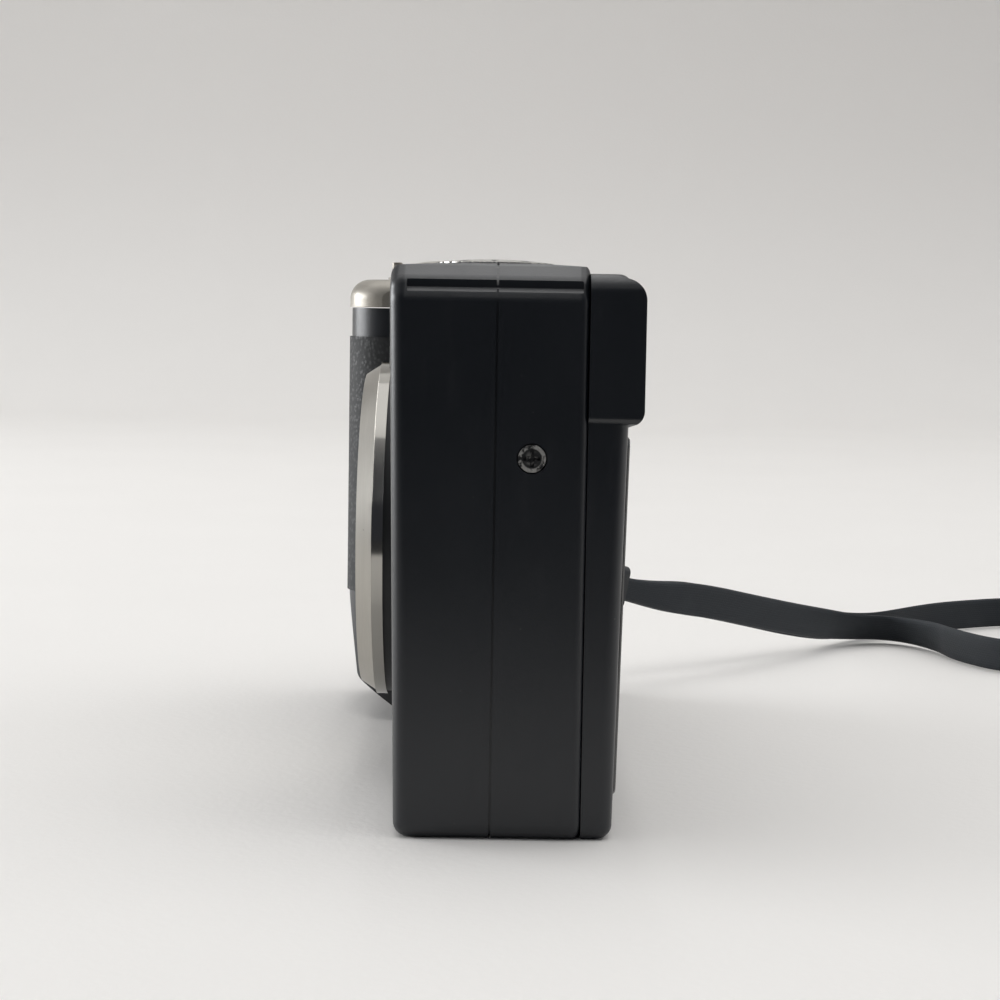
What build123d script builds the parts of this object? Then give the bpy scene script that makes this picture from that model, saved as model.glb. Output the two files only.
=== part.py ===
from build123d import *
import os
from math import cos, degrees, pi, radians, sin, sqrt, tan

# A small zoom camera with a hand grip, a retracting lens and a wrist strap.
# Millimetres, +Z up. The lens looks along -Y and the flat side faces +X.
# The origin is the mouth of the tripod socket, on the base under the lens axis.

# Shared clearances
overrun = 1.0
face_gap = 0.05
slip_gap = 0.15
running_gap = 0.08

# Case, seen from the front
body_width = 99.0
lens_to_side = 45.0
top_height = 64.7
grip_height = 63.6
wall = 1.6
shoulder_foot = 3.9
shoulder_knee = 1.8
shoulder_step = 0.9
shoulder_width = 3.5
shoulder_round = 2.2
shoulder_band = 1.0
shoulder_slope = 0.8
shoulder_band_front = 2.0
crown_drop = 0.45
base_round = 1.8
slope_start = 67.0
slope_width = 6.0
slope_round = 15.0
hand_top_round = 6.0
hand_base_round = 3.0

# Case, seen from the side
socket_behind_seam = 5.0
seam_to_front = 11.9
seam_to_crease = 10.4
face_draft = 1.0
front_round = 1.7
crease_round = 1.1
seam_groove_width = 0.25
seam_groove_depth = 0.3
lip_length = 1.3
lip_thickness = 0.9
lip_gap = 0.1

# Hand grip
grip_width = 29.0
grip_reach = 9.3
grip_toe_foot = 9.8
grip_toe_knee = 1.6
grip_toe_height = 6.0
grip_knee_height = 18.5
grip_near_round = 7.0
grip_far_round = 9.0
grip_knee_round = 12.0
grip_toe_round = 1.8
cap_height = 3.95
cap_round = 2.8
cap_line = 0.15
rubber_thickness = 0.8
rubber_proud = 0.3
rubber_low = 18.5
rubber_high = 55.4
rubber_wrap = 7.5

# Back cover and screen
back_depth = 4.5
back_wall = 1.5
back_draft = 1.2
back_inset = 0.55
back_drop = 0.5
back_round = 1.6
hump_left_inset = 0.15
hump_width = 60.5
hump_bottom = 45.6
hump_top = 63.6
hump_reach = 6.2
hump_slope = 0.8
hump_top_round = 2.5
hump_low_round = 1.8
hump_low_slope = 1.9
hump_low_rise = 1.5
hump_rise_width = 9.0
hump_edge_round = 0.8
hump_corner_round = 2.0
screen_inset = 4.0
screen_width = 58.0
screen_height = 41.0
screen_low = 4.4
screen_thickness = 1.3
screen_proud = 0.4
screen_round = 1.2
window_margin_side = 4.0
window_margin_top = 2.5
panel_margin = 2.0
panel_thickness = 1.6
panel_behind_cover = 0.25

# Lens unit, measured along the lens axis from the lens base
lens_height = 30.7
lens_base_y = 1.4
lens_base_thickness = 1.2
lens_base_size = 46.0
ring_base_radius = 21.5
ring_base_front = 19.9
ring_neck_radius = 20.8
ring_neck_bore = 19.5
ring_neck_back = 16.1
ring_chrome_radius = 21.85
ring_chrome_front = 21.3
ring_front = 23.3
ring_front_radius = 20.2
ring_lip_radius = 18.7
fixed_radius = 19.2
fixed_bore = 18.4
fixed_length = 18.0
cam_bore = 19.3
cam_radius = 20.3
cam_back = 0.6
cam_front = 15.2
cam_turn = 100.0
outer_bore = 17.3
outer_front = 22.6
outer_back = 1.0
outer_travel = 11.0
pin_radius = 1.1
pin_place = 2.8
pin_slot_gap = 0.2
inner_bore = 16.2
inner_back = 2.0
inner_front = 22.3
inner_travel = 9.5
lug_width = 2.4
lug_length = 2.0
lug_reach = 0.45
groove_length = 15.0
lens_cell_radius = 10.3
lens_cell_back = 13.0
lens_cell_front = 18.9
lens_web_back = 16.0
lens_web_thickness = 1.0
front_lens_radius = 9.1
front_lens_back = 15.4
front_lens_edge = 2.2
front_lens_crown = 0.9
barrier_opening = 6.6
barrier_cap_thickness = 1.2
barrier_cap_skirt = 3.0
barrier_cap_wall = 0.8
blade_radius = 7.3
blade_thickness = 0.5
blade_gap = 0.25
blade_pivot = 11.5
blade_eye = 1.9
blade_pin = 0.9
blade_seam = 0.06
blade_turn = 36.0
gear_module = 0.8
rim_teeth = 54
pinion_teeth = 12
rim_width = 2.6
pinion_width = 2.4
tooth_share = 0.40
tooth_tip_share = 0.22
pinion_angle = -45.0
pinion_bore = 0.75
motor_radius = 4.5
motor_length = 9.5
motor_post = 1.6
guide_rod_radius = 0.8
guide_rod_place = 12.0
guide_rod_length = 12.4
focus_back = 6.0
focus_disc_thickness = 1.2
focus_hub_radius = 6.6
focus_lens_radius = 5.6
focus_lens_edge = 1.6
focus_travel = 2.5
sensor_width = 9.5
sensor_height = 7.5
sensor_thickness = 1.8
sensor_board_margin = 5.0
sensor_board_thickness = 0.8

# Boards and frame
chassis_y = 3.5
chassis_thickness = 0.6
chassis_low = 4.0
chassis_high = 58.0
chassis_left_gap = 2.2
chassis_right_x = -22.6
chassis_foot_height = 2.75
chassis_foot_depth = 9.0
main_board_gap = 0.3
main_board_thickness = 0.8
main_board_margin = 1.5
key_board_thickness = 0.5
key_board_gap = 0.45
flash_board_thickness = 1.0
flash_board_gap = 0.8
flash_board_width = 15.0
flash_board_low = 4.5
flash_board_high = 50.0
capacitor_radius = 5.5
capacitor_length = 30.0
capacitor_low = 9.0

# Windows above the lens
finder_x = 0.5
finder_height = 57.4
finder_window_width = 9.0
finder_window_height = 5.8
finder_tube_wall = 0.7
finder_tube_width = 10.0
finder_tube_height = 7.2
finder_glass = 1.6
eyepiece_width = 8.4
eyepiece_height = 6.4
eyepiece_round = 2.6
flash_x = 30.0
flash_height = 56.0
flash_width = 16.0
flash_tall = 7.0
flash_round = 1.2
flash_glass = 1.4
reflector_depth = 5.0
reflector_wall = 0.5
flash_tube_radius = 1.2
flash_bezel_step = 0.7
lamp_x = 13.0
lamp_height = 57.4
lamp_radius = 2.3
lamp_length = 4.0

# Controls on top
dial_x = -13.0
dial_y = -5.5
dial_radius = 8.0
dial_skirt = 1.0
dial_crown = 0.5
dial_lift = 0.15
dial_stem_radius = 2.4
dial_notches = 30
dial_notch_radius = 0.35
shelf_width = 14.0
shelf_depth = 13.0
shelf_drop = 6.0
shutter_x = -43.0
shutter_y = -14.0
shutter_radius = 4.6
shutter_proud = 3.1
shutter_crown = 0.7
shutter_depth = 3.1
shutter_travel = 1.2
collar_radius = 7.6
collar_height = 0.5
lever_radius = 6.4
lever_height = 1.9
lever_sleeve_radius = 5.7
lever_sleeve_depth = 2.6
lever_nub_width = 3.0
lever_nub_rise = 0.3
lever_nub_reach = 7.0
lever_turn = 25.0
power_x = -36.0
power_y = 0.4
power_radius = 3.0
power_proud = 0.5
power_depth = 2.4
power_travel = 0.4

# Keys on the back
pad_x = -35.5
pad_height = 24.0
ok_radius = 3.0
arrow_inner = 3.7
arrow_outer = 8.2
arrow_sweep = 74.0
key_proud = 0.7
key_travel = 0.4
small_key_radius = 2.1
small_key_low = 8.5
small_key_aside = 7.0
thumb_rest_width = 9.0
thumb_rest_height = 12.0
thumb_rest_proud = 0.5

# Batteries, card and base
cell_radius = 7.25
cell_length = 50.5
cell_low = 6.4
cell_nub_radius = 2.6
cell_nub_length = 1.0
front_cell_x = -44.15
front_cell_y = -15.09
rear_cell_x = -37.25
rear_cell_y = -2.3
cell_gap = 0.25
holder_wall = 0.7
holder_low = 11.5
holder_high = 58.2
holder_roof = 0.8
contact_thickness = 0.4
contact_width = 9.0
spring_wire = 0.7
card_width = 24.0
card_length = 32.0
card_thickness = 2.1
card_x = -28.1
card_front_y = -18.8
card_low = 4.0
card_slot_wall = 0.3
card_slot_grip = 12.0
door_near_x = -26.3
door_far_x = -51.3
door_front_y = -22.3
door_round = 6.0
door_toe_height = 9.0
door_thickness = 1.5
door_gap = 0.2
door_recess = 0.1
door_knuckle_radius = 0.85
door_hinge_reach = 1.6
door_knuckle_length = 15.0
door_knuckle_back_y = 2.0
hinge_pin_radius = 0.4
hinge_pin_gap = 0.07
hinge_pin_hold = 1.2
socket_radius = 3.175
socket_outer_radius = 4.0
socket_depth = 5.5
socket_floor = 0.6
socket_flange_radius = 7.5
socket_flange = 0.8

# Connector door on the hand side
flap_low = 38.0
flap_high = 54.0
flap_front_y = -4.2
flap_width = 8.0
flap_thickness = 1.4
flap_knuckle_radius = 0.7
jack_depth = 5.0
jack_margin = 1.2
jack_wall = 1.3

# Screws
screw_head_radius = 1.55
screw_head_height = 0.9
screw_shank_radius = 0.8
screw_length = 4.0
screw_slot_length = 1.9
screw_slot_width = 0.45
screw_slot_depth = 0.5
side_screw_y = -0.8
side_screw_height = 43.1
hand_screw_height = 10.5

# Strap
strap_bar_radius = 0.9
strap_bar_sink = 1.0
strap_bar_y = -0.8
strap_bar_hold = 1.2
strap_pocket_front_y = -4.2
strap_pocket_back_y = 4.9
strap_pocket_low = 19.5
strap_pocket_high = 28.5
strap_pocket_depth = 3.4
strap_pocket_wall = 1.0
strap_scoop_depth = 1.5
strap_cord_width = 1.2
strap_cord_gap = 0.05
strap_cord_height = 24.0
strap_cord_tuck = 0.8
strap_cord_bend = 0.75
strap_cord_back = 1.35
strap_cord_lead = 2.6
ferrule_length = 7.0
ferrule_width = 4.6
ferrule_height = 7.0
ferrule_round = 1.2
webbing_width = 5.5
webbing_thickness = 0.9
strand_spacing = 2.1

# Places that follow from the sizes above
left_x = lens_to_side
right_x = lens_to_side - body_width
seam_y = -socket_behind_seam
front_y = seam_y - seam_to_front
crease_y = seam_y + seam_to_crease
back_y = crease_y + back_depth
grip_front_y = front_y - grip_reach
rubber_front_y = grip_front_y - rubber_proud
grip_foot_y = grip_front_y + grip_toe_foot
grip_flank_x = right_x + grip_width
slope_high_x = left_x - slope_start
slope_low_x = slope_high_x - slope_width
cap_z = grip_height - cap_height


def span_box(x, y, z):
    """Box between two limits along each axis."""
    centre = ((x[0] + x[1]) / 2, (y[0] + y[1]) / 2, (z[0] + z[1]) / 2)
    return Pos(*centre) * Box(x[1] - x[0], y[1] - y[0], z[1] - z[0])


def rounded_face(corners):
    """Closed outline from corners of x, y and radius."""
    points = [(x, y) for x, y, _ in corners]
    radii = [radius for *_, radius in corners]
    return make_face(FilletPolyline(*points, radius=radii, close=True))


def front_prism(face, y_back, y_front):
    """Front-view face in X and Z, extruded from y_back forward to y_front."""
    return extrude(Plane.XZ.offset(-y_back) * face, amount=y_back - y_front)


def side_prism(face, x_low, x_high):
    """Side-view face in Y and Z, extruded along X."""
    return extrude(Plane.YZ.offset(x_low) * face, amount=x_high - x_low)


def plan_prism(face, z_low, z_high):
    """Plan-view face in X and Y, extruded upwards."""
    return extrude(Plane.XY.offset(z_low) * face, amount=z_high - z_low)


def post(radius, x, y, z_low, z_high):
    """Upright cylinder."""
    return plan_prism(Pos(x, y) * Circle(radius), z_low, z_high)


def along_y(radius, x, z, y_back, y_front):
    """Cylinder along Y."""
    return front_prism(Pos(x, z) * Circle(radius), y_back, y_front)


def along_x(radius, y, z, x_low, x_high):
    """Cylinder along X."""
    return side_prism(Pos(y, z) * Circle(radius), x_low, x_high)


def tube(outer, inner, low, high):
    """Upright tube from low to high."""
    return plan_prism(Circle(outer) - Circle(inner), low, high)


# Outer forms of the case
def case_outline(inset):
    """Front view of the case, drawn in by inset on every side."""
    face = rounded_face([
        (left_x, 0, base_round),
        (left_x, top_height - shoulder_foot, shoulder_round),
        (left_x - shoulder_step, top_height - shoulder_knee, shoulder_round),
        (left_x - shoulder_width, top_height, shoulder_round),
        (slope_high_x, top_height, slope_round),
        (slope_low_x, grip_height, slope_round),
        (right_x, grip_height, hand_top_round),
        (right_x, 0, hand_base_round),
    ])
    return offset(face, -inset) if inset else face


def case_prism(inset, y_back, y_front):
    return front_prism(case_outline(inset), y_back, y_front)


def case_band(outer_inset, inner_inset, y_back, y_front):
    """Closed band that follows the case, between two insets."""
    return case_prism(outer_inset, y_back, y_front) - case_prism(inner_inset, y_back, y_front)


def crown():
    """All that lies below the crowned top."""
    high = top_height - crown_drop
    arc = ThreePointArc((front_y, high), (seam_y, top_height), (seam_y - front_y + seam_y, high))
    sides = Polyline((seam_y - front_y + seam_y, high), (seam_y - front_y + seam_y, -overrun),
                     (front_y, -overrun), (front_y, high))
    return side_prism(make_face([arc, sides]), right_x - overrun, left_x + overrun)


def shoulder_cut():
    """Shallow step along the shoulder of the flat side."""
    knee_x = left_x - shoulder_step
    knee_z = top_height - shoulder_knee
    face = make_face(Polyline(
        (knee_x, knee_z), (knee_x, knee_z - shoulder_band),
        (left_x + slip_gap, knee_z - shoulder_band - shoulder_slope),
        (left_x + overrun, knee_z - shoulder_band - shoulder_slope),
        (left_x + overrun, knee_z), close=True))
    return front_prism(face, crease_y - shoulder_slope, front_y + shoulder_band_front)


def front_plane_y(z):
    """The front face leans back towards the base."""
    return front_y + (top_height - z) * tan(radians(face_draft))


def behind_front_wall(z):
    return front_plane_y(z) + wall + face_gap


def before_front(depth):
    """All that lies ahead of the front face, moved back by depth."""
    low, high = -overrun, top_height + overrun
    ahead_y = grip_front_y - grip_reach
    face = make_face(Polyline(
        (front_plane_y(low) + depth, low), (front_plane_y(high) + depth, high),
        (ahead_y, high), (ahead_y, low), close=True))
    return side_prism(face, right_x - overrun, left_x + overrun)


def grip_profile(proud):
    """Side view of the grip, with its toe cut back towards the base."""
    return rounded_face([
        (seam_y, 0, 0),
        (grip_front_y - proud + grip_toe_foot, 0, grip_toe_round),
        (grip_front_y - proud + grip_toe_knee, grip_toe_height, grip_toe_round),
        (grip_front_y - proud, grip_knee_height, grip_knee_round),
        (grip_front_y - proud, grip_height, 0),
        (seam_y, grip_height, 0),
    ])


def grip_form(inset, proud):
    """The bulge of the hand grip, drawn in by inset, or proud of its plastic."""
    plan = rounded_face([
        (grip_flank_x + proud, seam_y + inset, 0),
        (grip_flank_x + proud, grip_front_y - proud, grip_near_round),
        (right_x, grip_front_y - proud, grip_far_round),
        (right_x, seam_y + inset, 0),
    ])
    side = grip_profile(proud)
    if inset:
        plan = offset(plan, -inset)
        side = offset(side, -inset) + Pos(seam_y - inset / 2, grip_height / 2) * Rectangle(
            inset + face_gap, grip_height - 2 * inset)
    form = plan_prism(plan, 0, grip_height) & side_prism(side, right_x, grip_flank_x + proud)
    if inset:
        return form
    rim = [
        edge for edge in form.faces().filter_by(Axis.Z).sort_by(Axis.Z)[-1].edges()
        if edge.center().Y < seam_y - face_gap
    ]
    return fillet(rim, radius=cap_round)


def front_form():
    """Solid outer form of the front half, with its grip."""
    body = case_prism(0, seam_y, grip_front_y) - before_front(0)
    body = fillet(body.faces().sort_by(Axis.Y)[0].edges(), radius=front_round)
    body = (body & crown()) - shoulder_cut()
    grip = grip_form(0, 0) & case_prism(0, seam_y, grip_front_y)
    return body + grip


def front_cavity():
    """Hollow of the front half."""
    body = case_prism(wall, seam_y + overrun, grip_front_y) - before_front(wall)
    grip = grip_form(wall, 0) & case_prism(wall, seam_y + overrun, grip_front_y - grip_reach)
    return body + grip


def rubber_form(thickness, proud):
    """Band of rubber round the front of the grip."""
    outer = grip_form(0, proud) & case_prism(0, seam_y, rubber_front_y - overrun)
    plan = rounded_face([
        (grip_flank_x + proud - thickness, seam_y + overrun, 0),
        (grip_flank_x + proud - thickness, grip_front_y - proud + thickness,
         grip_near_round - thickness),
        (right_x - overrun, grip_front_y - proud + thickness, grip_far_round - thickness),
        (right_x - overrun, seam_y + overrun, 0),
    ])
    core = plan_prism(plan, -overrun, grip_height + overrun)
    reach = span_box(
        (right_x + rubber_wrap, grip_flank_x + overrun),
        (rubber_front_y - overrun, front_y - rubber_thickness - rubber_wrap / 4),
        (rubber_low, rubber_high))
    return (outer - core) & reach


def cap_zone(line):
    """The part of the front half that the silver cap takes."""
    return span_box(
        (right_x - overrun, grip_flank_x + line),
        (rubber_front_y - overrun, seam_y + overrun),
        (cap_z - line, top_height + overrun))


def lens_place(part):
    """Place a part made about +Z onto the lens axis, +Z looking forward."""
    return Plane(origin=(0, lens_base_y, lens_height), x_dir=(1, 0, 0), z_dir=(0, -1, 0)) * part


def door_face(gap):
    """Outline of the battery door, with a wider gap along its hinge for the swing."""
    return rounded_face([
        (door_near_x + 2 * gap, crease_y, 0),
        (door_near_x + 2 * gap, door_front_y - gap, grip_toe_round),
        (door_far_x - gap, door_front_y - gap, door_round),
        (door_far_x - gap, crease_y, 0),
    ])


def screw_places():
    """Head centre and outward direction of each case screw."""
    return [
        ((left_x, side_screw_y, side_screw_height), (1, 0, 0)),
        ((right_x, side_screw_y, hand_screw_height), (-1, 0, 0)),
        ((left_x - 2 * shoulder_width, side_screw_y, 0), (0, 0, -1)),
        ((left_x / 2, side_screw_y, 0), (0, 0, -1)),
    ]


def screw_holes():
    """Seats for the heads and holes for the shanks."""
    cutters = []
    for place, outward in screw_places():
        seat = Plane(origin=place, z_dir=outward)
        head = Pos(0, 0, -screw_head_height) * Cylinder(
            screw_head_radius + slip_gap, screw_head_height + overrun,
            align=(Align.CENTER, Align.CENTER, Align.MIN))
        shank = Pos(0, 0, -screw_length) * Cylinder(
            screw_shank_radius + slip_gap, screw_length,
            align=(Align.CENTER, Align.CENTER, Align.MIN))
        cutters += [seat * head, seat * shank]
    return cutters


def strap_scoop():
    """Shallow hollow in the hand side, through which the cord leaves its pocket."""
    return span_box((right_x - overrun, right_x + strap_scoop_depth),
                    (strap_pocket_front_y, crease_y + strap_scoop_depth),
                    (strap_pocket_low - strap_scoop_depth, strap_pocket_high))


# Case pieces
def make_front_cover():
    shell = front_form() - front_cavity()
    lip_reach = span_box((grip_flank_x + wall, left_x), (front_y, seam_y + lip_length),
                         (0, top_height))
    root = case_band(wall - face_gap, wall + lip_gap + lip_thickness,
                     seam_y, seam_y - lip_length)
    lip = case_band(wall + lip_gap, wall + lip_gap + lip_thickness,
                    seam_y + lip_length, seam_y - face_gap)
    shell = shell + ((root + lip) & lip_reach)
    shell = shell - cap_zone(cap_line) - rubber_form(rubber_thickness + face_gap, rubber_proud)
    shell = shell - along_y(ring_neck_radius + slip_gap, 0, lens_height, seam_y,
                            grip_front_y)
    shell = shell - front_window(finder_x, finder_height, finder_window_width,
                                 finder_window_height, flash_round)
    shell = shell - front_window(flash_x, flash_height, flash_width, flash_tall, flash_round)
    shell = shell - along_y(lamp_radius + face_gap, lamp_x, lamp_height, seam_y, grip_front_y)
    shell = shell - base_opening() - dial_hole() - socket_hole()
    return shell - hinge_pin_cut()


def front_window(x, z, width, height, corner):
    face = Pos(x, z) * RectangleRounded(width + 2 * face_gap, height + 2 * face_gap, corner)
    return front_prism(face, seam_y - lip_length - face_gap, grip_front_y)


def socket_hole():
    return post(socket_outer_radius + slip_gap, 0, 0, -overrun, 2 * wall)


def dial_hole():
    return post(dial_stem_radius + slip_gap, dial_x, dial_y,
                top_height - shelf_drop, top_height + overrun)


def base_opening():
    """Opening in the base for the cells and the card, with the knuckle's notch."""
    axis_x, axis_z = door_axis()
    swing = door_knuckle_radius + 2 * door_gap
    knuckle = span_box(
        (door_near_x, axis_x + swing),
        (door_knuckle_back_y - door_knuckle_length - door_gap, door_knuckle_back_y + door_gap),
        (-overrun, axis_z + swing))
    toe = plan_prism(door_face(door_gap), -overrun, door_toe_height) & span_box(
        (right_x, grip_flank_x), (rubber_front_y, grip_foot_y), (-overrun, door_toe_height))
    return plan_prism(door_face(door_gap), -overrun, wall + overrun) + knuckle + toe


def door_axis():
    """Hinge axis of the battery door, in X and Z."""
    return door_near_x + door_hinge_reach, door_knuckle_radius + door_recess


def hinge_pin_cut():
    """Holes that hold the ends of the battery door's hinge pin."""
    x, z = door_axis()
    return along_y(hinge_pin_radius, x, z, door_knuckle_back_y + hinge_pin_hold,
                   door_knuckle_back_y - door_knuckle_length - hinge_pin_hold)


def flap_back_y():
    return flap_front_y + flap_width


def flap_axis():
    """Hinge axis of the connector door, in X and Y."""
    return right_x + flap_thickness / 2, flap_back_y() - flap_knuckle_radius


def strap_pocket(extra):
    return span_box(
        (right_x - overrun, right_x + strap_pocket_depth + extra),
        (strap_pocket_front_y - extra, strap_pocket_back_y + min(extra, slip_gap)),
        (strap_pocket_low - extra, strap_pocket_high + extra))


def make_middle_shell():
    shell = case_prism(0, crease_y, seam_y)
    shell = fillet(shell.faces().sort_by(Axis.Y)[-1].edges(), radius=crease_round)
    shell = (shell & crown()) - shoulder_cut()
    shell = shell - case_prism(wall, crease_y + overrun, seam_y - overrun)
    groove = case_band(-overrun, seam_groove_depth, seam_y + seam_groove_width, seam_y)
    shell = shell - groove
    pocket_block = strap_pocket(strap_pocket_wall) & case_prism(0, crease_y, seam_y)
    shell = shell + (pocket_block - case_band(-overrun, crease_round, crease_y, seam_y))
    shell = shell - strap_pocket(0)
    shell = shell - strap_scoop()
    bar_x = right_x + strap_bar_sink
    shell = shell - post(strap_bar_radius + face_gap, bar_x, strap_bar_y,
                         strap_pocket_low - strap_bar_hold, strap_pocket_high + strap_bar_hold)
    shell = shell - span_box((right_x - overrun, right_x + wall + overrun),
                             (flap_front_y, flap_back_y()), (flap_low, flap_high))
    axis_x, axis_y = flap_axis()
    shell = shell - post(hinge_pin_radius, axis_x, axis_y,
                         flap_low - hinge_pin_hold, flap_high + hinge_pin_hold)
    shell = shell - post(power_radius + slip_gap, power_x, power_y, grip_height - 2 * wall,
                         grip_height + overrun)
    shell = shell - base_opening() - dial_hole() - socket_hole() - hinge_pin_cut()
    for cutter in screw_holes():
        shell = shell - cutter
    return shell


def back_plane(depth):
    """Plane of the back face, moved inwards by depth, with x to the right seen from behind."""
    lean = radians(back_draft)
    foot_y = back_y - hump_bottom * tan(lean)
    outward = (0, cos(lean), -sin(lean))
    origin = (0, foot_y - depth * cos(lean), depth * sin(lean))
    return Plane(origin=origin, x_dir=(-1, 0, 0), z_dir=outward)


def behind_back(depth):
    """All that lies behind the back face, moved inwards by depth."""
    block = Box(2 * body_width, 2 * body_width, body_width,
                align=(Align.CENTER, Align.CENTER, Align.MIN))
    return back_plane(depth) * block


def hump_form(inset):
    """Raised panel round the eyepiece, drawn in by inset."""
    reach_y = crease_y + hump_reach
    side = rounded_face([
        (crease_y - overrun, hump_bottom, 0),
        (crease_y - overrun, hump_top + hump_slope / 2, 0),
        (reach_y, hump_top - hump_slope, hump_top_round),
        (reach_y, hump_bottom + hump_low_slope, hump_low_round),
        (back_y - back_wall, hump_bottom, 0),
    ])
    low_x = left_x - hump_left_inset - hump_width
    high_x = left_x - hump_left_inset
    front = rounded_face([
        (low_x, hump_bottom, hump_corner_round),
        (high_x - hump_rise_width, hump_bottom, hump_rise_width),
        (high_x, hump_bottom + hump_low_rise, hump_edge_round),
        (high_x, hump_top, hump_corner_round),
        (low_x, hump_top, hump_corner_round),
    ])
    if inset:
        side = offset(side, -inset)
        front = offset(front, -inset)
    form = side_prism(side, low_x, high_x)
    return form & front_prism(front, reach_y + overrun, crease_y - inset)


def make_back_cover():
    form = Pos(0, 0, -back_drop) * case_prism(back_inset, back_y + overrun, crease_y)
    form = form - behind_back(0)
    form = fillet(form.faces().sort_by(Axis.Y)[-1].edges(), radius=back_round)
    form = form + hump_form(0)
    hollow = case_prism(wall + lip_gap + lip_thickness, back_y + overrun, crease_y - overrun)
    hollow = hollow - behind_back(back_wall)
    cover = form - hollow - (hump_form(back_wall) & case_prism(
        wall + lip_gap + lip_thickness, back_y + hump_reach, crease_y - overrun))
    lip = case_band(wall + lip_gap, wall + lip_gap + lip_thickness, crease_y, crease_y - lip_length)
    lip = lip - plan_prism(door_face(door_gap), -overrun, 2 * wall + lip_thickness)
    lip = lip - strap_pocket(strap_pocket_wall + slip_gap)
    cover = cover + lip
    seat = back_plane(screen_thickness - screen_proud) * screen_block(face_gap, screen_thickness)
    window = back_plane(2 * back_wall) * screen_window()
    cover = cover - seat - window
    cover = cover - eyepiece_cut(face_gap) - strap_scoop()
    for centre, outline in key_outlines(slip_gap):
        hole = extrude(Pos(*centre) * outline, amount=3 * back_wall)
        cover = cover - back_plane(2 * back_wall) * hole
    rest = RectangleRounded(thumb_rest_width, thumb_rest_height, hump_corner_round)
    rest = extrude(Pos(-right_x - thumb_rest_width, hump_bottom) * rest,
                   amount=thumb_rest_proud + back_wall / 2, taper=4 * face_draft)
    return cover + (back_plane(back_wall / 2) * rest)


def screen_centre():
    """Centre of the screen cover on the back face, x to the right seen from behind."""
    middle_x = left_x - screen_inset - screen_width / 2
    return -middle_x, screen_low + screen_height / 2


def screen_block(gap, thickness):
    outline = RectangleRounded(screen_width + 2 * gap, screen_height + 2 * gap, screen_round)
    return extrude(Pos(*screen_centre()) * outline, amount=thickness)


def screen_window():
    outline = RectangleRounded(screen_width - 2 * window_margin_side,
                               screen_height - 2 * window_margin_top, screen_round)
    return extrude(Pos(*screen_centre()) * outline, amount=3 * back_wall)


def eyepiece_cut(gap):
    outline = RectangleRounded(eyepiece_width + 2 * gap, eyepiece_height + 2 * gap, eyepiece_round)
    return front_prism(Pos(finder_x, finder_height) * outline, crease_y + hump_reach + overrun,
                       crease_y + hump_reach - 2 * back_wall)


def make_screen_cover():
    block = back_plane(screen_thickness - screen_proud) * screen_block(0, screen_thickness)
    return chamfer(block.faces().sort_by(Axis.Y)[-1].edges(), length=screen_proud / 2)


def make_screen_panel():
    outline = RectangleRounded(screen_width - 2 * panel_margin, screen_height - 2 * panel_margin,
                               screen_round)
    depth = back_wall + panel_behind_cover + panel_thickness
    return back_plane(depth) * extrude(Pos(*screen_centre()) * outline, amount=panel_thickness)


def make_grip_cap():
    form = front_form() + (grip_form(0, rubber_proud) & case_prism(0, seam_y, rubber_front_y))
    cap = (form & cap_zone(0)) - front_cavity()
    hole = lever_sleeve_radius + running_gap
    collar = post(collar_radius, shutter_x, shutter_y, grip_height - wall / 2,
                  grip_height + collar_height)
    cap = cap + collar
    return cap - post(hole, shutter_x, shutter_y, cap_z, grip_height + 2 * overrun)


# Lens unit, each part made about +Z from the lens base forward
def make_lens_base_ring():
    outer = along_y(ring_base_radius, 0, lens_height, seam_y, lens_base_y - ring_base_front)
    skin = outer & before_front(-face_gap)
    neck = lens_place(tube(ring_neck_radius, ring_neck_bore, ring_neck_back, ring_base_front))
    return skin - lens_place(post(ring_neck_bore, 0, 0, 0, ring_front)) + neck


def make_lens_ring():
    profile = make_face(Polyline(
        (ring_neck_bore, ring_base_front), (ring_chrome_radius, ring_base_front),
        (ring_chrome_radius, ring_chrome_front), (ring_base_radius, ring_chrome_front),
        (ring_front_radius, ring_front), (ring_lip_radius, ring_front),
        (ring_lip_radius, ring_chrome_front), (ring_neck_bore, ring_chrome_front), close=True))
    return lens_place(revolve(Plane.XZ * profile, axis=Axis.Z))


def motor_centre():
    reach = gear_module * (rim_teeth + pinion_teeth) / 2
    angle = radians(pinion_angle)
    return reach * cos(angle), reach * sin(angle)


def motor_arm():
    """Distance of the motor's posts from its shaft, clear of the pinion's teeth."""
    tip = gear_module * (pinion_teeth / 2 + 1)
    return tip + motor_post / 2 + slip_gap


def make_lens_base():
    x, y = motor_centre()
    half = lens_base_size / 2
    plate = RectangleRounded(lens_base_size, lens_base_size, shoulder_round)
    ear = Pos(x, y) * Circle(motor_arm() + motor_post / 2 + slip_gap)
    base = plan_prism(plate + ear, -lens_base_thickness, 0)
    base = base - plan_prism(Rectangle(sensor_width + face_gap, sensor_height + face_gap),
                             -overrun - lens_base_thickness, overrun)
    for turn in (0, 90, 180, 270):
        foot = Rot(0, 0, turn) * Pos(half - motor_post, half - motor_post)
        gap = chassis_y - lens_base_y - lens_base_thickness
        base = base + foot * Cylinder(motor_post, gap + lens_base_thickness / 2,
                                      align=(Align.CENTER, Align.CENTER, Align.MAX))
    for side in (-1, 1):
        turned = Pos(x, y) * Rot(0, 0, pinion_angle + side * 90)
        arm = motor_arm()
        high = cam_back + rim_width + motor_post / 2
        base = base + plan_prism(turned * Pos(arm, 0) * Circle(motor_post / 2), -face_gap, high)
        base = base + post(guide_rod_radius, side * guide_rod_place, 0, -face_gap,
                           guide_rod_length)
    return lens_place(base - post(pinion_bore, x, y, -2 * overrun, overrun))


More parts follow.
